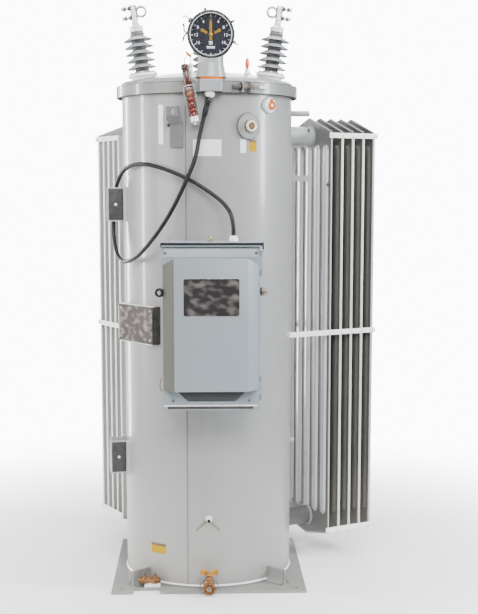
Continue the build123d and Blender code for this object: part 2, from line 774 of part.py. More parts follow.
def make_fittings():
    # Filler boss with its plug, and the level gauge, at the front right of the tank
    boss = rod((tank_r - 20, 0, boss_z), (tank_r + boss_t, 0, boss_z), boss_r) - tank_solid
    save(turn(boss, boss_azimuth), "filler_boss")
    plug = rod((tank_r + boss_t, 0, boss_z), (tank_r + boss_t + 22, 0, boss_z), plug_knob_r)
    plug += rod((tank_r + boss_t + 22, 0, boss_z), (tank_r + boss_t + 36, 0, boss_z), plug_square_r)
    save(turn(plug, boss_azimuth), "filler_plug")
    gauge = rod((tank_r - 20, 0, gauge_z), (tank_r + 14, 0, gauge_z), gauge_pad_r) - tank_solid
    gauge += rod((tank_r + 14, 0, gauge_z), (tank_r + 24, 0, gauge_z), gauge_r)
    save(turn(gauge, gauge_azimuth), "level_gauge")

    # Relief valve with its flag, on the cover
    stem = post(9, rim_z, flag_low, flag_x, flag_y) - cover_body(-seat_gap)
    save(max(stem.solids(), key=lambda solid: solid.center().Z), "relief_valve")
    save(block(flag_x - 7, flag_x + 7, flag_y - 3, flag_y + 3, flag_low, flag_high), "relief_flag")

    # Stub pin, bracket bar and low knob on the right side
    pin = rod((0, 0, side_pin_z), (tank_r + side_pin_out, 0, side_pin_z), side_pin_r)
    bar = block(0, tank_r + side_bar_out, -10, 10, side_bar_z - 14, side_bar_z + 14)
    knob = rod((0, 0, side_knob_z), (tank_r + side_knob_out, 0, side_knob_z), side_pin_r)
    save(Compound([piece - tank_solid for piece in (pin, bar, knob)]), "side_pins")

    # Drain valve with a wing handle
    body = rod((0, 0, drain_z), (0, -tank_r - drain_reach + 10, drain_z), drain_r) - tank_solid
    body -= post(tank_r + floor_lip, 0, wall_low)
    body = min(body.solids(), key=lambda solid: solid.center().Y)
    body += rod((0, -tank_r - drain_reach + 18, drain_z), (0, -tank_r - drain_reach, drain_z), drain_plug_r)
    bonnet_y = -tank_r - drain_reach + bonnet_in
    bonnet_top = drain_z + bonnet_h
    handle_z = drain_z + handle_rise
    body += post(bonnet_r, drain_z, bonnet_top, 0, bonnet_y)
    body += post(spindle_r - spindle_fit, bonnet_top, handle_z + 12, 0, bonnet_y)
    save(body, "drain_valve")
    handle = post(10, handle_z, handle_z + handle_h, 0, bonnet_y)
    for side in (-1, 1):
        wing = Pos(side * wing_x, bonnet_y, handle_z + handle_h - 2) * Sphere(wing_r)
        handle += wing & block(-60, 60, bonnet_y - 5, bonnet_y + 5, handle_z, handle_z + 2 * wing_r)
    handle -= post(spindle_r, handle_z, handle_z + handle_h - 1, 0, bonnet_y)
    save(handle, "drain_valve_handle")

    # Grounding connector beside the notch, and the earth boss higher up
    pad_top = base_thick + 14
    axis_z = pad_top + connector_r - 4
    connector = block(connector_x - 28, connector_x + 28, connector_y - 12, connector_y + 12,
                      base_thick, pad_top)
    connector += rod((connector_x - connector_half, connector_y, axis_z),
                     (connector_x + connector_half, connector_y, axis_z), connector_r)
    save(connector, "ground_connector")
    save(rod((0, 0, earth_z), (0, -tank_r - earth_out, earth_z), earth_r) - tank_solid, "earth_boss")


def make_arrester():
    top, low = Vector(*arrester_top), Vector(*arrester_low)
    axis = (top - low).normalized()
    core = rod(arrester_low, arrester_top, arrester_r)
    body = core
    for number in range(5):
        middle = low + axis * (30 + number * 22)
        body += rod(tuple(middle), tuple(middle + axis * 6), arrester_shed_r)
    save(body, "arrester")
    half = arrester_bracket_w / 2
    arm_top = low.Z - 4
    arm = block(low.X - half, low.X + half, low.Y, -tank_r + arrester_out, arm_top - arrester_arm_t, arm_top)
    arm += rod(tuple(low - axis * 8), tuple(low + axis * 14), arrester_shed_r)
    arm -= core
    arm -= tank_solid
    save(min(arm.solids(), key=lambda solid: solid.center().Y), "arrester_bracket")


def make_side_plate():
    # Nameplate on a dark stand-off bracket at the left of the cabinet
    half = side_w / 2
    face = tank_r + side_out
    bracket = block(tank_r - 60, face, -half, half, side_low, side_high)
    bracket -= block(tank_r - 60, face - side_t, -half + side_t, half - side_t, side_low, side_high)
    bracket -= tank_solid
    save(turn(bracket, side_azimuth), "side_plate_bracket")
    plate = block(face, face + side_plate_t, -half + 4, half - 4, side_low + 4, side_high - 4)
    plate = fillet(plate.edges().filter_by(Axis.X), 22)
    save(turn(plate, side_azimuth), "side_nameplate")


make_base()
make_tank()
make_cover()
make_bushings()
make_indicator()
make_cable()
make_cabinet()
make_radiators()
make_lugs()
make_hangers()
make_fittings()
make_arrester()
make_side_plate()
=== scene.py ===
import bpy
import bmesh
import math
from mathutils import Matrix, Vector


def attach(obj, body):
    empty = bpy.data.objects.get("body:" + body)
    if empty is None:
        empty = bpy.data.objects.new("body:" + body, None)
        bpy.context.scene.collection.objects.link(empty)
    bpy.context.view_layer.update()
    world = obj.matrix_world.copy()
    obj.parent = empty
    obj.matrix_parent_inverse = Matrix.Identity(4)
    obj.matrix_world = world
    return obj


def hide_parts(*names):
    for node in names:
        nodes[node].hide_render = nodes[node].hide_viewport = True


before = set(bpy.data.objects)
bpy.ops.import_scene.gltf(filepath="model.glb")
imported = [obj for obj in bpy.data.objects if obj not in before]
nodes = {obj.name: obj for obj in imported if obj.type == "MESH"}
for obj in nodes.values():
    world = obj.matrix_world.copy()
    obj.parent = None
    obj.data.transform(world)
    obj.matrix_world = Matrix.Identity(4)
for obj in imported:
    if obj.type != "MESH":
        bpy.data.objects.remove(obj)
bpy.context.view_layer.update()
print("frame loaded:", len(nodes), "nodes")

# Camera, fitted to the photo's perspective. Its level axis lies on axisRow of the frame
cameraView = {"place": (-0.032, -5.856, 1.774), "yaw": -1.74, "pitch": 7.74, "focalPixels": 1261,
              "frame": (478, 614), "axisRow": 362.8, "sensor": 36, "reach": 60}


def makeCamera(view):
    data = bpy.data.cameras.new("camera")
    data.sensor_fit = "HORIZONTAL"
    data.sensor_width = view["sensor"]
    data.lens = view["sensor"] * view["focalPixels"] / view["frame"][0]
    data.shift_y = (view["axisRow"] - view["frame"][1] / 2) / view["frame"][0]
    data.clip_end = view["reach"]
    camera = bpy.data.objects.new("camera", data)
    camera.matrix_world = (Matrix.Translation(view["place"])
                           @ Matrix.Rotation(math.radians(view["yaw"]), 4, "Z")
                           @ Matrix.Rotation(math.radians(90 - view["pitch"]), 4, "X"))
    bpy.context.scene.collection.objects.link(camera)
    bpy.context.scene.camera = camera


makeCamera(cameraView)


class Flow:  # one socket in a material, so that sums and products over a surface read as such
    def __init__(self, paint, socket):
        self.paint = paint
        self.socket = socket

    def math(self, operation, first, second):
        return self.paint.add("ShaderNodeMath", {"operation": operation}, {0: first, 1: second})

    def __add__(self, other):
        return self.math("ADD", self, other)

    def __radd__(self, other):
        return self.math("ADD", other, self)

    def __mul__(self, other):
        return self.math("MULTIPLY", self, other)

    def __rmul__(self, other):
        return self.math("MULTIPLY", other, self)


class Paint:  # one material and its nodes
    def __init__(self, name):
        self.material = bpy.data.materials.new(name)
        self.material.use_nodes = True
        self.tree = self.material.node_tree
        self.tree.nodes.clear()
        self.place = self.add("ShaderNodeTexCoord", out="Object")

    def add(self, kind, settings=None, values=None, out=0):
        node = self.tree.nodes.new(kind)
        for name, value in (settings or {}).items():
            if name == "stops":
                ramp = node.color_ramp
                while len(ramp.elements) < len(value):
                    ramp.elements.new(1)
                for element, (position, color) in zip(ramp.elements, value):
                    element.position = position
                    element.color = (*color, 1)
            else:
                setattr(node, name, value)
        for name, value in (values or {}).items():
            socket = node.inputs[name]
            if isinstance(value, Flow):
                self.tree.links.new(value.socket, socket)
            elif socket.type == "RGBA" and len(value) == 3:
                socket.default_value = (*value, 1)
            else:
                socket.default_value = value
        return Flow(self, node.outputs[out]) if node.outputs else None

    def axis(self, index):
        return self.add("ShaderNodeSeparateXYZ", None, {0: self.place}, index)

    def noise(self, scale, detail, rough=0.55, stretch=(1, 1, 1), shift=(0, 0, 0)):
        spot = self.add("ShaderNodeMapping", None, {"Vector": self.place, "Location": shift,
                                                    "Scale": stretch})
        return self.add("ShaderNodeTexNoise", None,
                        {"Vector": spot, "Scale": scale, "Detail": detail, "Roughness": rough})

    def spread(self, flow, low, high, toLow=0.0, toHigh=1.0):
        return self.add("ShaderNodeMapRange", {"clamp": True}, {
            "Value": flow, "From Min": low, "From Max": high, "To Min": toLow, "To Max": toHigh})

    def mix(self, amount, first, second):
        return self.add("ShaderNodeMix", {"data_type": "RGBA"}, {0: amount, 6: first, 7: second}, 2)

    def bump(self, height, strength, distance):
        return self.add("ShaderNodeBump", None, {"Height": height, "Strength": strength,
                                                 "Distance": distance})

    def done(self, values):
        shader = self.add("ShaderNodeBsdfPrincipled", None, values)
        self.add("ShaderNodeOutputMaterial", None, {"Surface": shader})
        return self.material


def enamel(name, tone, dust=0.0, runs=0.25, gloss=0.34, coat=0.35, shine=0.12):
    # Slow change of tone, fine orange peel, faint runs down the wall and dust near the ground
    paint = Paint(name)
    cloud = paint.noise(1.6, 4.0, 0.6)
    peel = paint.noise(420, 2.0, 0.5)
    streak = paint.noise(9, 4.0, 0.65, (1, 1, 0.08))
    speck = paint.noise(60, 4.0, 0.7, shift=(3, 1, 2))
    shade = paint.spread(cloud, 0.3, 0.7, 0.0, 0.35) + paint.spread(streak, 0.5, 0.8, 0.0, runs)
    darker = tuple(channel * 0.80 for channel in tone)
    color = paint.mix(shade, tone, darker)
    color = paint.mix(paint.spread(speck, 0.66, 0.78, 0.0, 0.25), color, (0.30, 0.28, 0.25))
    if dust:
        low = paint.spread(paint.axis(2) + cloud * 0.3, 0.16, 0.62, dust, 0.0)
        color = paint.mix(low, color, (0.40, 0.37, 0.33))
    rough = paint.spread(cloud, 0.25, 0.75, gloss - 0.05, gloss + 0.10) + shade * 0.12
    return paint.done({"Base Color": color, "Roughness": rough, "Coat Weight": coat, "Coat Roughness": shine,
                       "Normal": paint.bump(peel, 0.05, 0.0006)})


def glaze(name, tone, dark):  # fired glaze, mottled darker in patches and flecks
    paint = Paint(name)
    cloud = paint.noise(22, 3.0)
    fleck = paint.noise(260, 2.0)
    color = paint.mix(paint.spread(cloud, 0.35, 0.7, 0.0, 0.8), tone, dark)
    color = paint.mix(paint.spread(fleck, 0.62, 0.72, 0.0, 0.35), color, dark)
    return paint.done({"Base Color": color, "Roughness": paint.spread(cloud, 0.3, 0.7, 0.12, 0.24),
                       "Coat Weight": 0.6, "Coat Roughness": 0.06, "Normal": paint.bump(cloud, 0.12, 0.001)})


def castMetal(name, bright, dull, metallic=0.9, low=0.28, high=0.6):  # tarnish gathers in patches
    paint = Paint(name)
    patch = paint.noise(38, 5.0, 0.65)
    pit = paint.noise(540, 3.0, 0.6)
    amount = paint.spread(patch, 0.36, 0.66)
    return paint.done({"Base Color": paint.mix(amount, bright, dull),
                       "Metallic": paint.spread(amount, 0, 1, metallic, metallic * 0.75),
                       "Roughness": paint.spread(amount, 0, 1, low, high) + pit * 0.08,
                       "Normal": paint.bump(pit, 0.25, 0.0006)})


def plainPaint(name, tone, worn, rough, coat=0.2, grit=0.08, shine=0.5):  # one tone, worn in clouds
    paint = Paint(name)
    cloud = paint.noise(45, 4.0, 0.6)
    grain = paint.noise(700, 2.0)
    amount = paint.spread(cloud, 0.4, 0.75, 0.0, 0.6)
    return paint.done({"Base Color": paint.mix(amount, tone, worn), "Coat Weight": coat,
                       "Roughness": rough + amount * 0.2, "Specular IOR Level": shine,
                       "Normal": paint.bump(grain, grit, 0.0004)})


def glassPaint():  # clear, with faint smears
    paint = Paint("windowGlass")
    smear = paint.noise(30, 3.0, 0.6, (1, 1, 0.4))
    return paint.done({"Base Color": (0.95, 0.97, 0.98),
                       "Roughness": paint.spread(smear, 0.4, 0.8, 0.02, 0.10),
                       "Alpha": paint.spread(smear, 0.4, 0.8, 0.01, 0.02), "Specular IOR Level": 0.1,
                       "IOR": 1.3})


def arresterPaint():  # bands of colour down a slanting stack
    paint = Paint("arresterBands")
    height = paint.spread(paint.axis(2), 2.06, 2.31)
    bands = paint.add("ShaderNodeValToRGB", {"stops": [
        (0.0, (0.05, 0.006, 0.006)), (0.10, (0.075, 0.008, 0.007)), (0.16, (0.12, 0.012, 0.009)),
        (0.22, (0.15, 0.024, 0.016)), (0.32, (0.06, 0.008, 0.006)), (0.40, (0.19, 0.026, 0.007)),
        (0.47, (0.22, 0.075, 0.045)), (0.50, (0.22, 0.032, 0.007)), (0.58, (0.30, 0.25, 0.22)),
        (0.61, (0.05, 0.014, 0.010)), (0.80, (0.075, 0.024, 0.014)), (0.92, (0.045, 0.018, 0.013)),
        (1.0, (0.015, 0.010, 0.010))]}, {"Fac": height})
    patch = paint.noise(70, 4.0, 0.6)
    color = paint.mix(paint.spread(patch, 0.5, 0.8, 0.0, 0.5), bands, (0.05, 0.02, 0.016))
    return paint.done({"Base Color": color, "Roughness": paint.spread(patch, 0.3, 0.7, 0.16, 0.34),
                       "Coat Weight": 0.2, "Normal": paint.bump(patch, 0.15, 0.001)})


def platePaint(name, dark, light, low, high):  # anodised, rubbed lighter in soft bands, no words
    paint = Paint(name)
    rubbed = paint.noise(24, 1.2, 0.4, (1, 1, 1.6))
    brush = paint.noise(160, 3.0, 0.6, (0.1, 0.1, 2))
    color = paint.mix(paint.spread(rubbed, low, high, 0.0, 0.75), dark, light)
    return paint.done({"Base Color": color, "Metallic": 0.35, "Coat Weight": 0.15,
                       "Roughness": paint.spread(brush, 0.3, 0.7, 0.30, 0.46),
                       "Normal": paint.bump(brush, 0.10, 0.0004)})


def hoodShadePaint(low, high):  # painted shade on the shield under the hood, darkest where it meets the face
    paint = Paint("hoodShade")
    depth = paint.spread(paint.axis(2) + paint.noise(30, 2.0) * 0.004, low, high)
    return paint.done({"Base Color": paint.mix(depth, (0.045, 0.048, 0.050), (0.006, 0.007, 0.008)),
                       "Roughness": 0.6, "Specular IOR Level": 0.15})


def headerShadePaint(shaded, lit):  # painted shade: the lower pipes, in the banks' shade, are painted darker, mottled where the tone changes
    paint = Paint("headerPaintedShadeEnamel")
    shadeMottle = paint.noise(18, 4.0, 0.6)
    height = paint.spread(paint.axis(2) + shadeMottle * 0.2, 0.6, 1.4)
    return paint.done({"Base Color": paint.mix(height, shaded, lit), "Coat Weight": 0.2,
                       "Roughness": paint.spread(shadeMottle, 0.3, 0.7, 0.36, 0.5)})


def rubberPaint():  # black, scuffed grey
    paint = Paint("cableRubber")
    scuff = paint.noise(55, 4.0, 0.65)
    grain = paint.noise(900, 2.0)
    color = paint.mix(paint.spread(scuff, 0.55, 0.8, 0.0, 0.6), (0.010, 0.010, 0.012), (0.05, 0.05, 0.056))
    return paint.done({"Base Color": color, "Roughness": paint.spread(scuff, 0.3, 0.8, 0.30, 0.52),
                       "Specular IOR Level": 0.25, "Normal": paint.bump(grain, 0.15, 0.0004)})


# Tone, dust near the ground, runs, roughness, and the clear coat's weight and roughness
enamels = {
    "tank": {"name": "tankEnamel", "tone": (0.290, 0.290, 0.287), "dust": 0.28},
    "cover": {"name": "coverEnamel", "tone": (0.285, 0.295, 0.298), "runs": 0.1},
    "cabinet": {"name": "cabinetEnamel", "tone": (0.240, 0.280, 0.302), "runs": 0.12, "gloss": 0.40,
                "coat": 0.15},
    "fins": {"name": "finEnamel", "tone": (0.400, 0.410, 0.420), "dust": 0.2, "runs": 0.35, "gloss": 0.26,
             "coat": 0.7, "shine": 0.10},
    # painted shade between the right bank's panels; below it the left bank's copy, painted light
    "paintedGapShading": {"name": "finGapPaintedShadeEnamel", "tone": (0.095, 0.092, 0.081), "dust": 0.3, "runs": 0.45, "gloss": 0.55,
            "coat": 0.05},
    "leftGapPaintedLight": {"name": "leftGapPaintedLightEnamel", "tone": (0.42, 0.42, 0.405), "dust": 0.3, "runs": 0.45,
                "gloss": 0.45, "coat": 0.1},
    "box": {"name": "boxEnamel", "tone": (0.27, 0.28, 0.29), "runs": 0.1},
    "band": {"name": "bandEnamel", "tone": (0.195, 0.197, 0.190), "runs": 0.15},
    # painted highlight on the panel edges and the lit flute sides
    "edge": {"name": "edgePaintedHighlightEnamel", "tone": (0.60, 0.60, 0.58), "dust": 0.1, "runs": 0.3},
    # painted shade on the flats between the flutes
    "paintedValleyShading": {"name": "valleyPaintedShadeEnamel", "tone": (0.110, 0.112, 0.112), "dust": 0.2, "runs": 0.35, "gloss": 0.4,
               "coat": 0.1},
    # painted shade on the lifting lugs; also the dark tank seam and the weld ring round the filler boss
    "lugShadeAndSeams": {"name": "lugShadeAndSeamEnamel", "tone": (0.130, 0.134, 0.140), "runs": 0.2},
    # painted light for the slope over the hood and the flat above it
    "paintedLightTop": {"name": "doorTopPaintedLightEnamel", "tone": (0.40, 0.44, 0.46), "runs": 0.1},
    # painted shade for the hood's left flank
    "shadedLeftFlank": {"name": "cabinetPaintedShadeFlank", "tone": (0.085, 0.086, 0.074), "runs": 0.1, "gloss": 0.65,
                 "coat": 0.0},
    "trim": {"name": "trimEnamel", "tone": (0.88, 0.89, 0.88), "runs": 0.1},
    "base": {"name": "baseEnamel", "tone": (0.175, 0.180, 0.182), "dust": 0.3, "runs": 0.2, "gloss": 0.5},
}
paints = {finish: enamel(**facts) for finish, facts in enamels.items()}
paints.update({
    # the bushings' one glaze in three tones: a darker core as painted shade, pale shed faces as painted
    # light, dark shed rims as painted shade
    "porcelain": glaze("porcelainPaintedShadeGlaze", (0.15, 0.154, 0.158), (0.10, 0.104, 0.108)),
    "shedPaintedLight": glaze("shedPaintedLightGlaze", (0.50, 0.51, 0.52), (0.38, 0.39, 0.40)),
    "shedRimPaintedShade": glaze("shedRimPaintedShadeGlaze", (0.070, 0.070, 0.068), (0.035, 0.035, 0.035)),
    "tinned": castMetal("tinnedBronze", (0.90, 0.89, 0.86), (0.58, 0.56, 0.52), 0.35),
    "zinc": castMetal("zincSteel", (0.66, 0.66, 0.65), (0.34, 0.34, 0.33)),
    "darkSteel": castMetal("darkSteel", (0.20, 0.20, 0.20), (0.06, 0.06, 0.06), 0.8, 0.35, 0.6),
    "bronze": castMetal("castBronze", (0.34, 0.165, 0.065), (0.085, 0.042, 0.022), 0.85, 0.25, 0.55),
    "brass": castMetal("brightBrass", (0.58, 0.28, 0.04), (0.24, 0.10, 0.015), 0.85, 0.20, 0.45),
    "agedBrass": castMetal("agedBrass", (0.40, 0.35, 0.24), (0.12, 0.10, 0.07), 0.85, 0.2, 0.45),
    # painted shadow under the earth boss
    "shadowOlive": plainPaint("paintedShadowOlive", (0.22, 0.20, 0.13), (0.10, 0.09, 0.06), 0.5),
    "black": plainPaint("blackEnamel", (0.008, 0.009, 0.013), (0.03, 0.03, 0.034), 0.3, 0.1, 0.04, 0.3),
    "dialFace": plainPaint("dialFace", (0.003, 0.0045, 0.012), (0.006, 0.008, 0.018), 0.8, 0.0, 0.0, 0.04),
    "dialMark": plainPaint("dialMark", (0.86, 0.88, 0.95), (0.60, 0.62, 0.70), 0.5, 0.0),
    "white": plainPaint("whiteEnamel", (0.86, 0.87, 0.87), (0.72, 0.73, 0.72), 0.4),
    "label": plainPaint("whiteLabel", (0.84, 0.84, 0.86), (0.74, 0.74, 0.77), 0.45),
    "yellow": plainPaint("yellowEnamel", (0.27, 0.145, 0.0), (0.20, 0.10, 0.0), 0.5, 0.0, 0.0, 0.1),
    "yellowLabel": plainPaint("yellowLabel", (0.46, 0.275, 0.0), (0.38, 0.20, 0.0), 0.55, 0.0, 0.0, 0.1),
    "labelHead": plainPaint("labelHead", (0.10, 0.06, 0.02), (0.22, 0.12, 0.02), 0.45),
    "orange": plainPaint("orangeRubber", (0.55, 0.10, 0.0), (0.42, 0.07, 0.0), 0.6, 0.0, 0.0, 0.1),
    "red": plainPaint("redPlastic", (0.72, 0.03, 0.04), (0.50, 0.04, 0.05), 0.35, 0.4),
    "paintedHoodShade": hoodShadePaint(0.916, 0.951),
    "headerPaintedShade": headerShadePaint((0.115, 0.114, 0.110), enamels["fins"]["tone"]),
    "bracket": plainPaint("bracketPaint", (0.045, 0.042, 0.041), (0.09, 0.085, 0.082), 0.5, 0.0, 0.08, 0.2),
    # painted shade on the hanger faces, under the door and under the cover band, and the dark joint above the
    # band
    "darkShadeAndJoints": plainPaint("darkShadeAndJointPaint", (0.045, 0.045, 0.047), (0.085, 0.085, 0.085), 0.5, 0.0, 0.08, 0.2),
    "plate": platePaint("anodisedPlate", (0.022, 0.019, 0.020), (0.20, 0.18, 0.17), 0.45, 0.75),
    "plateField": platePaint("platePrint", (0.060, 0.052, 0.050), (0.28, 0.25, 0.24), 0.36, 0.70),
    "sidePlate": platePaint("sidePlateMetal", (0.032, 0.023, 0.020), (0.30, 0.24, 0.22), 0.46, 0.74),
    "glass": glassPaint(),
    "arrester": arresterPaint(),
    "cable": rubberPaint(),
})

# The finish of each of the part's own solids
nodePaint = {
    "tank_wall": "tank", "tank_cover": "cover", "tank_floor": "base", "cover_band": "band",
    "base_plate": "base", "base_gussets": "base", "radiator_left_fins": "fins", "radiator_right_fins": "fins",
    "radiator_headers": "headerPaintedShade", "radiator_straps": "trim", "cabinet_door": "cabinet",
    "cabinet_shell": "cabinet",
    "cabinet_cap": "cabinet", "cabinet_rails": "tank", "cabinet_hinges": "cabinet", "cable_hangers": "fins",
    "lifting_lugs": "lugShadeAndSeams", "junction_box": "box", "indicator_housing": "cover", "indicator_pedestal": "cover",
    "indicator_bezel": "black", "indicator_dial": "dialFace", "indicator_glass": "glass",
    "indicator_pointer": "yellow", "pedestal_gasket": "orange", "bushings": "porcelain",
    "bushing_flanges": "trim", "terminals": "tinned", "control_cable": "cable", "cable_plug": "cable",
    "cable_glands": "zinc", "cabinet_side_knob": "darkSteel", "door_latch_ring": "black",
    "door_nameplate": "plate",
    "side_nameplate": "sidePlate", "side_plate_bracket": "bracket", "filler_boss": "tank",
    "filler_plug": "brass",
    "level_gauge": "trim", "relief_valve": "tinned", "relief_flag": "red", "side_pins": "cover",
    "drain_valve": "bronze", "drain_valve_handle": "brass", "ground_connector": "bronze",
    "earth_boss": "tinned",
    "arrester": "arrester", "arrester_bracket": "trim", "cover_band_bolt": "darkSteel",
}
for name, node in nodes.items():
    node.data.materials.clear()
    node.data.materials.append(paints[nodePaint[name]])
print("materials made:", len(paints))

# Tools for new pieces
atRest = Matrix.Identity(4)   # the frame that the whole part is made in
forwards = (0, -1, 0)         # the way the cabinet and the dial face


def finishPiece(shape, name, paint, body="tank", slot=None, smooth=35, close=True):
    if close:
        bmesh.ops.remove_doubles(shape, verts=shape.verts, dist=1e-6)
        bmesh.ops.recalc_face_normals(shape, faces=shape.faces)
    mesh = bpy.data.meshes.new(name)
    shape.to_mesh(mesh)
    shape.free()
    piece = bpy.data.objects.new(name, mesh)
    bpy.context.scene.collection.objects.link(piece)
    mesh.materials.append(paints[paint])
    mesh.shade_smooth()
    mesh.set_sharp_from_angle(angle=math.radians(smooth))
    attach(piece, body)
    return piece


def spun(shape, profile, place, steps):  # profile points are (radius, height)
    rim = [shape.verts.new((radius, 0, height)) for radius, height in profile]
    edges = [shape.edges.new(pair) for pair in zip(rim, rim[1:])]
    bmesh.ops.spin(shape, geom=rim + edges, cent=(0, 0, 0), axis=(0, 0, 1), angle=2 * math.pi,
                   steps=steps, use_merge=True)
    fresh = set(rim)
    for edge in edges:
        fresh.update(edge.verts)
    whole = set(fresh)
    while fresh:   # gather what the spin made, to move it alone
        fresh = {far for vert in fresh for edge in vert.link_edges for far in edge.verts} - whole
        whole |= fresh
    bmesh.ops.transform(shape, matrix=place, verts=list(whole))


def slab(shape, size, place, soften=0.0):
    made = bmesh.ops.create_cube(shape, size=1, matrix=place @ Matrix.Diagonal((*size, 1)))
    if soften:
        edges = {edge for vert in made["verts"] for edge in vert.link_edges}
        bmesh.ops.bevel(shape, geom=list(edges), offset=soften, offset_type="OFFSET", affect="EDGES",
                        segments=2, profile=0.5, material=-1)


def stud(shape, radius, length, place, sides=20, tip=None):  # stands on z = 0 of its place
    bmesh.ops.create_cone(shape, cap_ends=True, segments=sides, radius1=radius,
                          radius2=radius if tip is None else tip, depth=length,
                          matrix=place @ Matrix.Translation((0, 0, length / 2)))


def hexBolt(shape, place, width, height, washer=True, tail=0.0):
    radius = width / 2
    if washer:
        stud(shape, radius * 1.35, 0.002, place)
    made = bmesh.ops.create_cone(shape, cap_ends=True, segments=6, radius1=radius, radius2=radius,
                                 depth=height, matrix=place @ Matrix.Translation((0, 0, 0.002 + height / 2)))
    rims = [edge for edge in {edge for vert in made["verts"] for edge in vert.link_edges}
            if len(edge.link_faces) == 2]
    bmesh.ops.bevel(shape, geom=rims, offset=radius * 0.10, offset_type="OFFSET", affect="EDGES", segments=2,
                    profile=0.5, material=-1)
    if tail:
        stud(shape, radius * 0.5, tail, place @ Matrix.Translation((0, 0, height)), 14)


def turned(name, paint, profile, place, steps, **finish):   # one lathe-turned piece
    shape = bmesh.new()
    spun(shape, profile, place, steps)
    return finishPiece(shape, name, paint, **finish)


def blocks(name, paint, rows, **finish):   # upright blocks, each a size, a middle and its rounding
    shape = bmesh.new()
    for size, middle, soften in rows:
        slab(shape, size, Matrix.Translation(middle), soften)
    return finishPiece(shape, name, paint, **finish)


def wire(name, points, radius, paint, body="tank", order=3):
    curve = bpy.data.curves.new(name, "CURVE")
    curve.dimensions = "3D"
    curve.bevel_depth = 1.0
    curve.bevel_resolution = 4
    curve.use_fill_caps = True
    line = curve.splines.new("NURBS")
    line.points.add(len(points) - 1)
    for point, place in zip(line.points, points):
        point.co = (*place, 1)
        point.radius = radius
    line.order_u = order
    line.use_endpoint_u = True
    line.resolution_u = 8
    curve.materials.append(paints[paint])
    piece = bpy.data.objects.new(name, curve)
    bpy.context.scene.collection.objects.link(piece)
    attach(piece, body)
    return piece


def facing(place, outwards, up=(0, 0, 1)):  # z of the new frame points outwards
    depth = Vector(outwards).normalized()
    side = Vector(up).cross(depth).normalized()
    axes = Matrix((side, depth.cross(side), depth)).transposed().to_4x4()
    return Matrix.Translation(place) @ axes


def onTank(azimuth, height, radius):
    turn = math.radians(azimuth)
    out = Vector((math.cos(turn), math.sin(turn), 0))
    return facing(out * radius + Vector((0, 0, height)), out)


# Control cable, from the plug under the junction box round the upper hanger to the cabinet
cableFacts = {
    "radius": 0.009, "length": 2.14, "exit": (-0.01417, -0.4400, 2.09035),
    "route": [(-0.0142, -0.4400, 2.0903), (-0.0343, -0.4400, 2.0129), (-0.0490, -0.4560, 1.9170),
              (-0.1000, -0.4630, 1.7980), (-0.1640, -0.4500, 1.6720), (-0.2410, -0.4050, 1.5630),
              (-0.3220, -0.3020, 1.4750), (-0.3950, -0.1570, 1.4570), (-0.4280, -0.0760, 1.5470),
              (-0.4290, -0.0620, 1.6690), (-0.4170, -0.0760, 1.7910), (-0.3740, -0.1780, 1.8750),
              (-0.2920, -0.3120, 1.8980), (-0.1850, -0.3880, 1.8710), (-0.0750, -0.4160, 1.8240),
              (0.0060, -0.4320, 1.7730), (0.0750, -0.4700, 1.7200), (0.1080, -0.5000, 1.6580),
              (0.1080, -0.5000, 1.5880)],
}
cable = wire("controlCable", cableFacts["route"], cableFacts["radius"], "cable")
cable.data.bevel_resolution = 6
cable.data.splines[0].resolution_u = 10
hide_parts("control_cable")
print("cable laid")


def softened(name, node, width, body="tank", slot="grey_paint"):
    # A copy of a plain folded or cast solid, with its corners rounded as rolled or painted metal has them
    shape = bmesh.new()
    shape.from_mesh(nodes[node].data)
    bmesh.ops.remove_doubles(shape, verts=shape.verts, dist=1e-5)
    bmesh.ops.dissolve_limit(shape, angle_limit=math.radians(1), verts=shape.verts, edges=shape.edges)
    piece = finishPiece(shape, name, nodePaint[node], body, slot, close=False)
    rounding = piece.modifiers.new("rounding", "BEVEL")
    rounding.width = width
    rounding.segments = 2
    rounding.limit_method = "ANGLE"
    rounding.angle_limit = math.radians(38)
    rounding.harden_normals = True
    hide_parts(node)
    return piece


doorFacts = {"rounding": 0.0022, "shieldFront": -0.6445, "shieldTop": 0.953}
door = softened("cabinetDoor", "cabinet_door", doorFacts["rounding"], body="door")
# the door's extra paints: painted shade under the hood and on its left flank, painted light on the slope over
# it
for paint in ("paintedHoodShade", "shadedLeftFlank", "paintedLightTop"):
    door.data.materials.append(paints[paint])
for face in door.data.polygons:
    normal, middle = face.normal, face.center
    if normal.z < -0.25 and middle.y < doorFacts["shieldFront"] and middle.z < doorFacts["shieldTop"]:
        face.material_index = 1   # painted shade on the sloping shield under the hood
    elif normal.x < -0.3 and normal.y < -0.2:
        face.material_index = 2   # painted shade on the hood's left flank, darker and warmer
    elif normal.z > 0.25 and normal.y < -0.2:
        face.material_index = 3   # painted light on the slope over the hood
softened("cabinetShell", "cabinet_shell", 0.002)
softened("cabinetCap", "cabinet_cap", 0.002)
softened("junctionBox", "junction_box", 0.003)
# the lifting lugs carry painted shade
softened("liftingLugs", "lifting_lugs", 0.002)
softened("cableHangers", "cable_hangers", 0.0015)
softened("basePlate", "base_plate", 0.002)
softened("baseGussets", "base_gussets", 0.0012)

# Dark bars along the gussets' outer ends, drawn as short bars along one half of the outline and its mirror
gussetFacts = {"azimuths": (45, 135, 225, 315), "reach": 0.4866, "thick": 0.0016, "width": 0.0042,
               "outline": [(0.0068, 0.0775), (0.0070, 0.0460), (0.0098, 0.0300), (0.0158, 0.0200),
                           (0.0275, 0.0135)]}


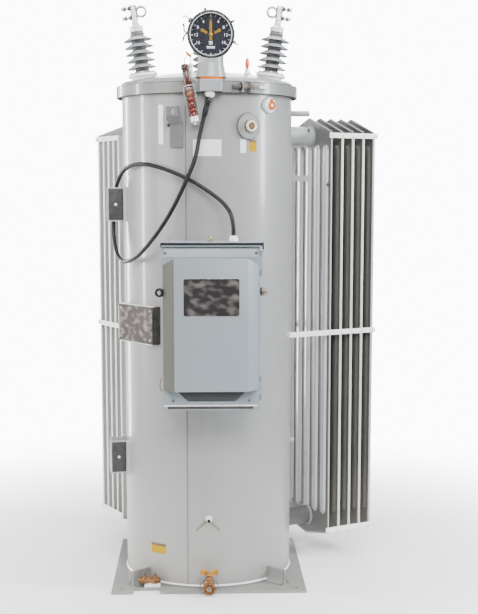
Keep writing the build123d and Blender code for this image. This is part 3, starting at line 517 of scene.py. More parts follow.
def makeGussetEnds(facts):
    ends = bmesh.new()
    outline = facts["outline"]
    for azimuth in facts["azimuths"]:
        for hand in (-1, 1):
            for start, end in zip(outline, outline[1:]):
                middle = Vector(((start[0] + end[0]) / 2 * hand, (start[1] + end[1]) / 2))
                run = Vector(((end[0] - start[0]) * hand, end[1] - start[1]))
                place = (Matrix.Rotation(math.radians(azimuth), 4, "Z")
                         @ Matrix.Translation((facts["reach"], middle.x, middle.y))
                         @ Matrix.Rotation(math.atan2(run.y, run.x), 4, "X"))
                slab(ends, (facts["thick"], run.length + 0.002, facts["width"]), place, 0.0006)
    finishPiece(ends, "gussetEnds", "darkSteel", slot="grey_paint")


makeGussetEnds(gussetFacts)
softened("radiatorStraps", "radiator_straps", 0.0015)
softened("sidePlateBracket", "side_plate_bracket", 0.001, slot="zinc_steel")
softened("mountRails", "cabinet_rails", 0.0015)
softened("clampBand", "cover_band", 0.0015)

# Radiator panels: rounded flutes, pale folded edges painted as highlights, rolled gables, painted shade in
# the gaps and flute flats, painted highlights on the lit flute sides
bankFacts = {"azimuths": {"right": 28, "left": 118}, "first": 0.557, "pitch": 0.060, "count": 5,
             "half": 0.195}
panelFacts = {"low": 0.130, "high": 2.048, "peakLow": 0.045, "peakHigh": 0.074, "edge": 0.013,
              "rounding": 0.0045, "roll": 0.0042, "flatHalf": 0.168, "skin": 0.003,
              # per bank: painted shade in the right bank's gaps and flute flats, painted light there on the
              # left, pale edges painted as highlights
              "right": {"paintedGapShading": "paintedGapShading", "paintedValleyShading": "paintedValleyShading", "thinFirst": 0.005, "edges": "edge",
                        "last": "fins"},
              "left": {"paintedGapShading": "leftGapPaintedLight", "paintedValleyShading": "edge", "thinFirst": 0.013, "edges": "trim",
                       "last": "trim"}}


def paintPanels(panels, facts, first, turnBack):
    for face in panels.data.polygons:
        place = turnBack @ face.center
        outward = (turnBack.to_3x3() @ face.normal).x
        if abs(outward) > 0.25 and (place.x > first + 0.012 or outward > 0):
            face.material_index = 1   # painted shade between the panels, painted light there on the left bank
        elif outward < -0.5 and place.x < first and face.normal.y < -0.89:
            face.material_index = 2   # painted highlight on the flute sides that catch the light
        elif outward < -0.9 and first - facts["skin"] < place.x < first and abs(place.y) < facts["flatHalf"]:
            face.material_index = 3   # painted shade on the flats between the flutes, painted light there on the left bank


def makePanels(facts, banks):
    first, count, half = banks["first"], banks["count"], banks["half"]
    low, high = facts["low"], facts["high"]
    reaches = [first + number * banks["pitch"] for number in range(count)]
    for side, azimuth in banks["azimuths"].items():
        bank = facts[side]
        swing = Matrix.Rotation(math.radians(azimuth), 4, "Z")
        panels = softened(f"{side}Panels", f"radiator_{side}_fins", facts["rounding"])
        # the gap and flat paints of each bank, and the painted highlight of the lit flute sides
        for paint in (bank["paintedGapShading"], "edge", bank["paintedValleyShading"]):
            panels.data.materials.append(paints[paint])
        paintPanels(panels, facts, first, swing.inverted())
        edges = bmesh.new()
        last = bmesh.new()
        # pale edge strips painted as highlights; on the left bank the last ones too
        for number, reach in enumerate(reaches):
            width = bank["thinFirst"] if number == 0 else facts["edge"]
            for hand in (-1, 1):
                slab(last if number == count - 1 else edges, (width, 0.0060, high - low - 0.004),
                     swing @ Matrix.Translation((reach, hand * (half - 0.0032), (high + low) / 2)),
                     min(0.0026, width * 0.3))
        finishPiece(edges, f"{side}PanelEdgeHighlights", bank["edges"], slot="grey_paint")
        finishPiece(last, f"{side}LastEdges", bank["last"], slot="grey_paint")
        wide = half - 0.004
        for number, reach in enumerate(reaches):
            for name, end, peak in (("Top", high, high + facts["peakHigh"] - 0.003),
                                    ("Low", low, low - facts["peakLow"] + 0.003)):
                gable = ((-wide, end), (-wide * 0.5, (end + peak) / 2), (0, peak),
                         (wide * 0.5, (end + peak) / 2), (wide, end))
                fold = [swing @ Vector((reach, across, z)) for across, z in gable]
                wire(f"{side}Roll{name}{number + 1}", fold, facts["roll"], "cover",
                     order=2)


makePanels(panelFacts, bankFacts)
print("corners rounded and panels edged")

# Bushings: thin drooping sheds round a grey core, a grooved cap, and the conductor clamp with its eye
bushingFacts = {
    "places": ((-0.286, 0.030, 180), (0.286, 0.030, 0), (0, 0.235, 90)), "foot": 2.265, "tilt": 8,
    "flange": 0.040, "core": 0.031, "shed": 0.0660, "sheds": 6, "pitch": 0.031, "first": 0.016,
    "grooves": (0.003, 0.011, 0.019), "groove": [(0.0295, -0.003), (0.0312, -0.0015), (0.0312, 0.0015),
                                                 (0.0295, 0.003)],
    "clampRise": 0.052, "clampBolts": (0.012, 0.054), "bolt": (0.021, 0.009), "boltReach": 0.054,
    "jawReach": 0.014,
    "eyeReach": -0.032, "eyeRise": 0.033, "eyeRadii": (0.0185, 0.0248), "line": (0.0016, 0.0010),
    "flangeBolts": 6, "flangeBoltReach": 0.058, "flangeBolt": (0.013, 0.006),
}


def bushingSeat(number):
    x, y, lean = bushingFacts["places"][number]
    return (Matrix.Translation((x, y, bushingFacts["foot"])) @ Matrix.Rotation(math.radians(lean), 4, "Z")
            @ Matrix.Rotation(math.radians(bushingFacts["tilt"]), 4, "Y"))


def shedProfile(facts):
    core, rim = facts["core"], facts["shed"]
    points = [(core + 0.006, 0), (core + 0.005, 0.004)]
    for number in range(facts["sheds"]):
        z = facts["first"] + number * facts["pitch"]
        points += [(core, z - 0.008), (core + 0.004, z - 0.0085), (rim - 0.012, z - 0.0165),
                   (rim - 0.002, z - 0.0225), (rim, z - 0.0220), (rim, z - 0.0205),
                   (rim - 0.012, z - 0.0140), (core + 0.006, z - 0.0052), (core + 0.001, z - 0.002),
                   (core - 0.001, z + 0.004), (core + 0.0025, z + 0.0055), (core + 0.0025, z + 0.0085),
                   (core - 0.001, z + 0.0100)]
    top = facts["first"] + (facts["sheds"] - 1) * facts["pitch"] + 0.018
    return points + [(core - 0.002, top - 0.004), (core - 0.004, top), (0.0001, top)]


def makePorcelain(facts):
    shape = bmesh.new()
    profile = [(0.0001, 0)] + shedProfile(facts)
    seats = [bushingSeat(number) for number in range(3)]
    for seat in seats:
        spun(shape, profile, seat @ Matrix.Translation((0, 0, facts["flange"] + 0.0002)), 40)
    bmesh.ops.remove_doubles(shape, verts=shape.verts, dist=1e-6)
    bmesh.ops.recalc_face_normals(shape, faces=shape.faces)
    for seat in seats:   # painted light and shade: the shed faces pale, their rims dark, the core left in the darker glaze
        inverse = (seat @ Matrix.Translation((0, 0, facts["flange"]))).inverted()
        for face in shape.faces:
            local = inverse @ face.calc_center_median()
            reach = math.hypot(local.x, local.y)
            if facts["core"] + 0.007 < reach < 0.08 and -0.02 < local.z < 0.25:
                face.material_index = 1 if reach > facts["shed"] - 0.0045 else 2
    piece = finishPiece(shape, "bushingPorcelains", "porcelain", slot="porcelain", smooth=50, close=False)
    piece.data.materials.append(paints["shedRimPaintedShade"])
    piece.data.materials.append(paints["shedPaintedLight"])
    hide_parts("bushings")


def makeTerminals(facts):
    trim, dark, shadeOutlines = bmesh.new(), bmesh.new(), bmesh.new()
    cap = facts["flange"] + facts["first"] + (facts["sheds"] - 1) * facts["pitch"] + 0.018
    clamp = cap + facts["clampRise"]
    sideways = Matrix.Rotation(math.pi / 2, 4, "Y")
    thick, high = facts["line"]
    for number in range(3):
        seat = bushingSeat(number)
        for z in facts["grooves"]:
            spun(trim, facts["groove"], seat @ Matrix.Translation((0, 0, cap + z)), 32)
        stud(trim, 0.017, 0.010, seat @ Matrix.Translation((0, 0, cap + 0.034)), 6)
        stud(trim, 0.0135, 0.006, seat @ Matrix.Translation((0, 0, cap + 0.0445)), 20)
        for rise in facts["clampBolts"]:
            bolt = seat @ Matrix.Translation((facts["boltReach"], 0, clamp + rise)) @ sideways
            hexBolt(dark, bolt @ Matrix.Translation((0, 0, -0.020)), *facts["bolt"])
            jaw = seat @ Matrix.Translation((facts["jawReach"], 0, clamp + rise)) @ sideways
            hexBolt(dark, jaw, *facts["bolt"])
        for side in (-0.011, 0.011):   # dark outlines painted as shade along the clamp's parting lines and round its eye
            for hand in (-0.013, 0.013):
                slab(shadeOutlines, (0.0042, 0.0018, 0.064),
                     seat @ Matrix.Translation((hand * 0.9, side, clamp + facts["eyeRise"])), 0.0004)
            eye = (seat @ Matrix.Translation((facts["eyeReach"], side * 0.42, clamp + facts["eyeRise"]))
                   @ Matrix.Rotation(math.pi / 2, 4, "X"))
            for radius in facts["eyeRadii"]:
                spun(shadeOutlines, [(radius - thick, -high), (radius + thick, -high), (radius + thick, high),
                             (radius - thick, high), (radius - thick, -high)], eye, 40)
        for z in (0.004, clamp - cap):
            slab(trim, (0.030, 0.026, 0.004), seat @ Matrix.Translation((0, 0, cap + z + 0.002)), 0.001)
    finishPiece(trim, "terminalTrim", "tinned", slot="terminal_metal")
    finishPiece(dark, "terminalNuts", "darkSteel", slot="terminal_metal")
    finishPiece(shadeOutlines, "terminalShadeOutlines", "black", slot="terminal_metal")
    collar = bmesh.new()
    for number in range(3):
        for turn in range(facts["flangeBolts"]):
            spot = (Matrix.Rotation(turn * math.pi / 3 + 0.5, 4, "Z")
                    @ Matrix.Translation((facts["flangeBoltReach"], 0, facts["flange"])))
            hexBolt(collar, bushingSeat(number) @ spot, *facts["flangeBolt"])
    finishPiece(collar, "flangeBolts", "zinc", slot="zinc_steel")


makePorcelain(bushingFacts)
makeTerminals(bushingFacts)
print("bushings made")

# Position indicator: rounded bezel, white ring, marks, limit hands and levers
dialFacts = {
    "x": 0.015, "z": 2.431, "front": -0.400, "bezel": 0.101, "inner": 0.0845, "face": -0.3735,
    "ring": [(0.0868, 0.0042), (0.0871, 0.0052), (0.0880, 0.0055), (0.0889, 0.0052), (0.0892, 0.0044)],
    # A mark is reach, width and length
    "marks": 24, "longMark": (0.079, 0.0026, 0.009), "shortMark": (0.081, 0.0016, 0.005),
    "numerals": ("4", "8", "12", "16"), "numeralSize": 0.019, "numeralReach": 0.063, "numeralTurn": 30,
    "plaques": (((0.034, 0.0012, 0.011), 0.052), ((0.016, 0.0012, 0.016), 0.033)),
    "handTurn": 62, "hand": (0.011, 0.0014, 0.024), "handReach": 0.029, "padReach": 0.041,
    "cap": [(0.0001, 0.0042), (0.003, 0.004), (0.0055, 0.003), (0.0062, 0.0012), (0.0062, 0.0)],
    "capFront": -0.3910,
    "catches": ((-56, (0.022, 0.014, 0.010)), (-13, (0.012, 0.012, 0.012)), (108, (0.014, 0.012, 0.010)),
                (60, (0.010, 0.012, 0.016))), "catchReach": 0.106, "hinges": (-0.022, 0.034),
    "levers": {   # radius, then the bends as steps right and up from the dial's middle
        "dialLeverLeft": (0.0034, ((-0.100, 0.010), (-0.108, 0.006), (-0.114, 0.020), (-0.113, 0.040))),
        "dialLeverLow": (0.0034, ((-0.100, 0.004), (-0.109, -0.002), (-0.116, -0.014), (-0.115, -0.028))),
        "dialHook": (0.0022, ((0.099, -0.034), (0.108, -0.040), (0.112, -0.046), (0.116, -0.034))),
        "dialLeverTop": (0.0028, ((-0.086, 0.060), (-0.098, 0.066), (-0.106, 0.078), (-0.118, 0.070))),
    },
}


def dialPlace(facts, angle, reach, y):
    turn = math.radians(angle)
    return Vector((facts["x"] + reach * math.sin(turn), y, facts["z"] + reach * math.cos(turn)))


def makeNumeral(facts, side, count, text):
    letter = bpy.data.curves.new("numeral", "FONT")
    letter.body = text
    letter.size = facts["numeralSize"]
    letter.extrude = 0.0003
    letter.align_x = "CENTER"
    letter.align_y = "CENTER"
    holder = bpy.data.objects.new("numeral", letter)
    bpy.context.scene.collection.objects.link(holder)
    bpy.context.view_layer.update()
    mesh = bpy.data.meshes.new_from_object(holder)
    bpy.data.objects.remove(holder)
    angle = side * (count + 1) * facts["numeralTurn"]
    mesh.transform(facing(dialPlace(facts, angle, facts["numeralReach"], facts["face"]), forwards))
    mesh.materials.clear()
    mesh.materials.append(paints["dialMark"])
    piece = bpy.data.objects.new(f"dialNumeral{text}{'L' if side < 0 else 'R'}", mesh)
    bpy.context.scene.collection.objects.link(piece)
    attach(piece, "tank")


def makeDialFace(facts):
    front = facing((facts["x"], facts["front"], facts["z"]), forwards)
    outer, inner = facts["bezel"], facts["inner"]
    piece = turned("dialBezel", "black",
                   [(outer - 0.001, -0.014), (outer, -0.006), (outer - 0.001, 0.001), (outer - 0.004, 0.0042),
                    (outer - 0.008, 0.005), (inner + 0.004, 0.004), (inner + 0.001, 0.002), (inner, 0.0002),
                    (inner + 0.0005, -0.0002), (outer - 0.003, -0.0003), (outer - 0.003, -0.0139),
                    (outer - 0.001, -0.014)], front, 72, slot="black_paint", smooth=50)
    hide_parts("indicator_bezel")
    turned("dialWhiteRing", "white", facts["ring"], front, 72, slot="black_paint", smooth=60, close=False)
    marks = bmesh.new()
    for number in range(facts["marks"]):
        angle = number * 360 / facts["marks"]
        reach, width, length = facts["shortMark" if number % 2 else "longMark"]
        slab(marks, (width, 0.0006, length), Matrix.Translation(dialPlace(facts, angle, reach, facts["face"]))
             @ Matrix.Rotation(math.radians(angle), 4, "Y"))
    finishPiece(marks, "dialMarks", "dialMark", slot="black_paint")
    for side in (-1, 1):
        for count, text in enumerate(facts["numerals"]):
            makeNumeral(facts, side, count, text)
    plaque = bmesh.new()   # plain grey counter plate, left bare
    for size, reach in facts["plaques"]:
        slab(plaque, size, Matrix.Translation(dialPlace(facts, 180, reach, facts["face"])), 0.0005)
    finishPiece(plaque, "dialPlaque", "zinc", slot="black_paint")

    hands = bmesh.new()   # two drag hands that mark the furthest travel
    for side in (-1, 1):
        turn = side * facts["handTurn"]
        middle = dialPlace(facts, turn, facts["handReach"], facts["face"] - 0.0022)
        place = Matrix.Translation(middle) @ Matrix.Rotation(math.radians(turn), 4, "Y")
        slab(hands, facts["hand"], place, 0.0006)
        pad = dialPlace(facts, turn, facts["padReach"], facts["face"] - 0.0015)
        stud(hands, 0.008, 0.0016, facing(pad, forwards), 16, 0.006)
    finishPiece(hands, "dragHands", "yellow", slot="yellow")
    turned("pointerCap", "brass", facts["cap"], facing((facts["x"], facts["capFront"], facts["z"]), forwards),
           24, body="pointer", slot="yellow", smooth=60)


def makeDialTrim(facts):   # catches, hinge and levers round the rim
    x, y, z = facts["x"], facts["front"] + 0.004, facts["z"]
    trim = bmesh.new()
    for angle, size in facts["catches"]:
        place = Matrix.Translation(dialPlace(facts, angle, facts["catchReach"], facts["front"] + 0.006))
        slab(trim, size, place @ Matrix.Rotation(math.radians(angle), 4, "Y"), 0.002)
    for rise in facts["hinges"]:
        stud(trim, 0.0045, 0.010, Matrix.Translation((x - 0.115, y, z + rise)), 14)
    finishPiece(trim, "dialCatches", "darkSteel", slot="black_paint")
    for name, (radius, bends) in facts["levers"].items():
        wire(name, [(x + across, y, z + rise) for across, rise in bends], radius, "darkSteel")


makeDialFace(dialFacts)
makeDialTrim(dialFacts)
print("indicator made")

# Labels are thin skins rolled on to the tank, left without words
labelFacts = {
    "whitePlate": {"azimuth": -90.3, "width": 0.123, "low": 1.924, "high": 1.994, "paint": "label"},
    "smallWhiteLabel": {"azimuth": -66.6, "width": 0.028, "low": 1.938, "high": 1.996, "paint": "label"},
    "yellowLabel": {"azimuth": -59.4, "width": 0.036, "low": 1.945, "high": 1.984, "paint": "yellowLabel"},
    "yellowLabelHead": {"azimuth": -59.4, "width": 0.036, "low": 1.984, "high": 1.994, "paint": "labelHead"},
    "lowYellowLabel": {"azimuth": -126.2, "width": 0.082, "low": 0.153, "high": 0.187,
                       "paint": "yellowLabel"},
    "lowYellowLabelHead": {"azimuth": -126.2, "width": 0.082, "low": 0.187, "high": 0.199,
                           "paint": "labelHead"},
    # a pale strip beside the lug
    "paleStripByLug": {"azimuth": -121.1, "width": 0.024, "low": 1.975, "high": 2.143, "paint": "white",
               "thick": 0.004, "slot": "grey_paint"},
}
labelWall = 0.3852   # the labels start just inside the paint


def tankSkin(shape, azimuth, width, low, high, radius, thick, steps=10):
    half = width / radius / 2
    start = math.radians(azimuth) - half
    corners = [shape.verts.new((r * math.cos(start), r * math.sin(start), z))
               for r, z in ((radius - thick, low), (radius, low), (radius, high), (radius - thick, high))]
    face = shape.faces.new(corners)
    bmesh.ops.spin(shape, geom=[face, *face.edges, *corners], cent=(0, 0, 0), axis=(0, 0, 1), angle=2 * half,
                   steps=steps, use_merge=False)


for name, facts in labelFacts.items():
    skin = bmesh.new()
    thick = facts.get("thick", 0.0006)
    tankSkin(skin, facts["azimuth"], facts["width"], facts["low"], facts["high"], labelWall + thick, thick)
    finishPiece(skin, name, facts["paint"], slot=facts.get("slot", "nameplate_metal"))

# Seam of the tank, weld at its foot painted pale as a highlight, the dark joint above the clamp band and a
# painted shadow ring under it
weldFacts = {"seam": {"azimuth": -104.2, "width": 0.004, "low": 0.022, "high": 2.190, "radius": 0.3860,
                      "thick": 0.0012, "steps": 3},
             "foot": [(0.3848, 0.0262), (0.3868, 0.0252), (0.3885, 0.0232), (0.3898, 0.0200)],
             # the joint ring above the band, then the ring of painted shadow under it
             "joints": ((0.4104, 2.2372), (0.4064, 2.1896)), "jointHalf": 0.0011, "jointDepth": 0.012,
             "steps": 128}


def makeWelds(facts):
    seam = bmesh.new()
    tankSkin(seam, **facts["seam"])
    finishPiece(seam, "tankSeam", "lugShadeAndSeams", slot="grey_paint", smooth=60)
    # the foot weld, painted white as a highlight
    turned("footWeldHighlight", "white", facts["foot"], atRest, facts["steps"], slot="grey_paint", smooth=70,
           close=False)
    darkRings = bmesh.new()
    half = facts["jointHalf"]
    for radius, z in facts["joints"]:
        inner = radius - facts["jointDepth"]
        spun(darkRings, [(inner, z - half), (radius, z - half), (radius, z + half), (inner, z + half),
                     (inner, z - half)],
             atRest, facts["steps"])
    finishPiece(darkRings, "coverJointAndShadowRings", "darkShadeAndJoints", slot="grey_paint", smooth=40)


makeWelds(weldFacts)
print("labels and welds made")

# Cabinet: seal with a painted screw shadow, cap front, painted light and shade on the door, screws, latch,
# knob, nuts and the rating plate's rim.
# Blocks are size, middle and rounding
cabinetFacts = {
    "seal": [((0.4235, 0.003, 0.0100), (0.015, -0.6594, 1.5602), 0.0008),
             ((0.006, 0.026, 0.030), (0.2255, -0.6480, 1.5520), 0.001),
             # the block at the seal's left end is a painted screw shadow
             ((0.004, 0.020, 0.018), (-0.1960, -0.6500, 1.5560), 0.001)],
    "apron": [((0.4130, 0.0030, 0.0062), (0.0150, -0.6560, 1.5516), 0.0008)],
    "topPaintedLightFlat": [((0.3860, 0.0010, 0.0385), (0.0090, -0.6408, 1.5245), 0.0004)],
    "footPaintedShade": [((0.358, 0.0016, 0.0112), (0.0075, -0.6411, 0.8755), 0.0005)],
    "lowLipHighlight": [((0.395, 0.0020, 0.0050), (0.0090, -0.6413, 0.8840), 0.0008)],
    "front": -0.6405, "screws": ((-0.179, 1.522), (0.198, 1.522), (-0.149, 0.905), (0.169, 0.905)),
    "screwHead": [(0.0048, 0.001), (0.0046, 0.0028), (0.0032, 0.0040), (0.0001, 0.0044)],
    "knobPlace": (0.2165, -0.600, 1.359),
    "knobDome": [(0.0001, 0.0312), (0.006, 0.0303), (0.0108, 0.0268), (0.0140, 0.0210), (0.0150, 0.0140),
                 (0.0150, 0.0070)],
    "knobWasher": [(0.0001, 0.0005), (0.0180, 0.0005), (0.0186, 0.0030), (0.0180, 0.0070), (0.0100, 0.0080),
                   (0.0001, 0.0080)],
    "nutPlace": (0.008, -0.560, 1.5662),
    "nutDome": [(0.0105, 0.0110), (0.0102, 0.0150), (0.0080, 0.0190), (0.0045, 0.0212), (0.0001, 0.0220)],
    "glandPlace": (0.108, -0.500, 1.5662), "glandGrips": 8,
    "gland": [(0.0100, 0.0225), (0.0125, 0.0222), (0.0148, 0.0200), (0.0150, 0.0110), (0.0185, 0.0105),
              (0.0190, 0.0090), (0.0190, 0.0006), (0.0100, 0.0004)],
    "latch": {"x": -0.2045, "y": -0.6440, "z": 1.3590, "radius": 0.0135, "thick": 0.0056, "start": -60,
              "turn": 30, "points": 11},
    "hasp": [((0.012, 0.003, 0.030), (-0.1930, -0.6420, 1.3590), 0.0008)],
    "pinColumns": (-0.0935, 0.1175), "pinRows": (1.2755, 1.4105), "pinFront": -0.7003,
    "pin": [(0.0046, 0.0), (0.0042, 0.0010), (0.0026, 0.0018), (0.0001, 0.0021)],
    "plateRim": [((0.2300, 0.0012, 0.0022), (0.012, -0.7018, 1.4192), 0.0004),
                 ((0.2300, 0.0012, 0.0016), (0.012, -0.7018, 1.2668), 0.0004)],
    "plateFields": [((0.060, 0.0006, 0.050), (-0.050, -0.70215, 1.350), 0.0002),
                    ((0.050, 0.0006, 0.060), (0.022, -0.70215, 1.345), 0.0002),
                    ((0.050, 0.0006, 0.045), (0.088, -0.70215, 1.352), 0.0002),
                    ((0.110, 0.0006, 0.018), (-0.030, -0.70215, 1.290), 0.0002),
                    ((0.060, 0.0006, 0.022), (0.075, -0.70215, 1.296), 0.0002)],
}


def makeCabinetTrim(facts):
    blocks("capSeal", "black", facts["seal"], slot="black_paint")
    blocks("capApron", "cabinet", facts["apron"], slot="grey_paint")   # turned-down front of the cap
    blocks("doorTopPaintedLightFlat", "paintedLightTop", facts["topPaintedLightFlat"], body="door", slot="grey_paint")   # painted lighter, as lit from above
    # a dark strip of painted shade under the door's lower flange
    blocks("doorFootPaintedShade", "darkShadeAndJoints", facts["footPaintedShade"], body="door", slot="black_paint")
    # a white line of painted highlight along the door's lower lip
    blocks("doorLowLipHighlight", "white", facts["lowLipHighlight"], body="door", slot="grey_paint")
    screws = bmesh.new()
    for x, z in facts["screws"]:
        place = facing((x, facts["front"], z), forwards)
        stud(screws, 0.0065, 0.0012, place, 20)
        spun(screws, facts["screwHead"], place, 20)
    finishPiece(screws, "doorScrews", "darkSteel", body="door", slot="zinc_steel", smooth=60)
    side = facing(facts["knobPlace"], (1, 0, 0))   # dome catch on the right, with a black washer
    turned("sideKnobDome", "agedBrass", facts["knobDome"], side, 28, slot="zinc_steel", smooth=60)
    turned("sideKnobWasher", "black", facts["knobWasher"], side, 32, slot="black_paint", smooth=50)

    nut = bmesh.new()   # acorn nut on top, with its washer
    place = Matrix.Translation(facts["nutPlace"])
    stud(nut, 0.0150, 0.0022, place, 28)
    stud(nut, 0.0115, 0.0090, place @ Matrix.Translation((0, 0, 0.0022)), 6)
    spun(nut, facts["nutDome"], place, 24)
    finishPiece(nut, "topAcornNut", "agedBrass", slot="zinc_steel", smooth=45)
    gland = bmesh.new()
    place = Matrix.Translation(facts["glandPlace"])
    spun(gland, facts["gland"], place, 30)
    for turn in range(facts["glandGrips"]):
        grip = place @ Matrix.Rotation(turn * math.pi / 4, 4, "Z") @ Matrix.Translation((0.0155, 0, 0.0155))
        slab(gland, (0.0025, 0.004, 0.009), grip, 0.0006)
    finishPiece(gland, "cabinetGlandNut", "white", slot="zinc_steel", smooth=45)

    latch, arc = facts["latch"], []   # split ring of black wire
    for step in range(latch["points"]):
        turn = math.radians(latch["start"] + step * latch["turn"])
        arc.append((latch["x"] + latch["radius"] * math.cos(turn), latch["y"],
                    latch["z"] + latch["radius"] * math.sin(turn)))
    wire("latchRing", arc, latch["thick"], "black", body="door")
    blocks("latchHasp", "black", facts["hasp"], body="door", slot="black_paint")

    # Rivets and rim of the rating plate, and the empty rubbed fields where one is stamped
    pins = bmesh.new()
    for x in facts["pinColumns"]:
        for z in facts["pinRows"]:
            spun(pins, facts["pin"], facing((x, facts["pinFront"], z), forwards), 16)
    finishPiece(pins, "platePins", "zinc", body="door", slot="nameplate_metal", smooth=60)
    blocks("plateRim", "zinc", facts["plateRim"], body="door", slot="nameplate_metal")
    blocks("plateFields", "plateField", facts["plateFields"], body="door", slot="nameplate_metal")


makeCabinetTrim(cabinetFacts)
print("cabinet trimmed")

# Arrester: a stack of glazed sleeves between two pale strips, with its lead, beads and tab
arresterFacts = {
    "top": (-0.098, -0.432, 2.306), "low": (-0.054, -0.434, 2.074),
    "sleeves": ((0.006, 0.030, 0.0185), (0.033, 0.048, 0.0170), (0.050, 0.074, 0.0190),
                (0.077, 0.096, 0.0165),
                (0.098, 0.118, 0.0180), (0.121, 0.140, 0.0160)),   # start, end and radius, up the stack
    "lastStart": 0.143, "lastRadius": 0.0160, "foot": [(0.0001, 0.0), (0.0140, 0.0), (0.0165, 0.004)],
    "head": ((0.0150, 0.026), (0.0172, 0.018), (0.0165, 0.008), (0.0120, 0.002), (0.0001, 0.0)),
    "strip": (0.0035, 0.014, 0.62), "stripReach": 0.0235, "bar": (0.050, 0.016, 0.004),
    "collars": (0.006, 0.1415),
    "beads": ((-0.070, -0.425, 2.300), (-0.071, -0.425, 2.278)), "beadRadius": 0.0105,
    "spacer": ((0.018, 0.012, 0.046), (-0.071, -0.421, 2.270)),
    "tab": ((0.030, 0.003, 0.010), (-0.079, -0.432, 2.3445), 38),
    "lead": [(-0.098, -0.432, 2.306), (-0.096, -0.432, 2.325), (-0.084, -0.430, 2.345),
             (-0.070, -0.420, 2.330), (-0.068, -0.410, 2.300)], "leadRadius": 0.0022,
}


def makeArrester(facts):
    top, low = Vector(facts["top"]), Vector(facts["low"])
    axis = facing(low, top - low, up=(0, -1, 0))
    length = (top - low).length
    profile = list(facts["foot"])
    for start, end, radius in (*facts["sleeves"], (facts["lastStart"], length - 0.030, facts["lastRadius"])):
        profile += [(radius - 0.004, start), (radius - 0.001, start + 0.002), (radius, start + 0.005),
                    (radius, end - 0.005), (radius - 0.001, end - 0.002), (radius - 0.004, end)]
    profile += [(radius, length - below) for radius, below in facts["head"]]
    piece = turned("arresterStack", "arrester", profile, axis, 32, slot="brown_glaze", smooth=50)
    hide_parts("arrester")
    strips = bmesh.new()
    width, depth, share = facts["strip"]
    for side in (-1, 1):
        slab(strips, (width, depth, length * share),
             axis @ Matrix.Translation((side * facts["stripReach"], 0.004, length * 0.30)), 0.001)
    for z in (-0.010, length * 0.61):
        slab(strips, facts["bar"], axis @ Matrix.Translation((0, 0.004, z)), 0.001)
    finishPiece(strips, "arresterFrame", "box", slot="grey_paint")
    collars = bmesh.new()
    for z in facts["collars"]:
        spun(collars, [(0.0155, z), (0.0205, z + 0.001), (0.0205, z + 0.003), (0.0155, z + 0.004)], axis, 32)
    hexBolt(collars, axis @ Matrix.Translation((0, 0, -0.012)) @ Matrix.Rotation(math.pi, 4, "X"), 0.016,
            0.007)
    finishPiece(collars, "arresterCollars", "tinned", slot="zinc_steel", smooth=45)
    beads = bmesh.new()
    for spot in facts["beads"]:
        bmesh.ops.create_uvsphere(beads, u_segments=20, v_segments=12, radius=facts["beadRadius"],
                                  matrix=Matrix.Translation(spot))
    size, middle = facts["spacer"]
    slab(beads, size, Matrix.Translation(middle), 0.003)
    finishPiece(beads, "spacerBeads", "white", slot="grey_paint", smooth=60)
    tab = bmesh.new()
    size, middle, tilt = facts["tab"]
    slab(tab, size, Matrix.Translation(middle) @ Matrix.Rotation(math.radians(tilt), 4, "Y"), 0.001)
    finishPiece(tab, "leadTab", "orange", slot="orange_gasket")
    wire("arresterLead", facts["lead"], facts["leadRadius"], "tinned")


makeArrester(arresterFacts)

# Fittings on the wall: filler plug, level gauge, studs beside the lug and earth boss.
# Places are azimuth, height and radius
fittingFacts = {
    "filler": (-62.9, 2.052, 0.397),
    "fillerRing": [(0.0235, -0.001), (0.0242, 0.004), (0.0242, 0.018), (0.0225, 0.0215), (0.0165, 0.0222),
                   (0.0150, 0.0205), (0.0150, 0.0100), (0.0001, 0.0095)],
    "fillerCollar": [(0.0243, 0.0005), (0.0258, 0.0015), (0.0258, 0.0110), (0.0243, 0.0120)],
    "fillerWelds": ([(0.0536, -0.0002), (0.0560, -0.0040), (0.0585, -0.0105)],
                    [(0.0475, 0.0001), (0.0480, 0.0008), (0.0490, 0.0001)]),
    "gauge": (-46.8, 2.144, 0.399),
    "gaugeRing": [(0.0215, 0.0001), (0.0235, 0.0025), (0.0260, 0.0030), (0.0290, 0.0020), (0.0305, 0.0001)],
    "gaugeEye": [(0.0205, 0.0098), (0.0190, 0.0120), (0.0140, 0.0128), (0.0085, 0.0120), (0.0075, 0.0102)],
    "gaugeLensHighlight": [(0.0078, 0.0104), (0.0060, 0.0122), (0.0030, 0.0130), (0.0001, 0.0132)],
    "studs": ((-115.3, 2.080, 0.385), (-115.3, 2.055, 0.385)),
    "studTip": [(0.0068, 0.020), (0.0060, 0.0235), (0.0001, 0.0245)],
    "earth": (-90.6, 0.331, 0.399), "earthHolePaintedShade": (0.0078, 0.0008),
    "shadowSteps": 4, "shadowTilt": 42,
}


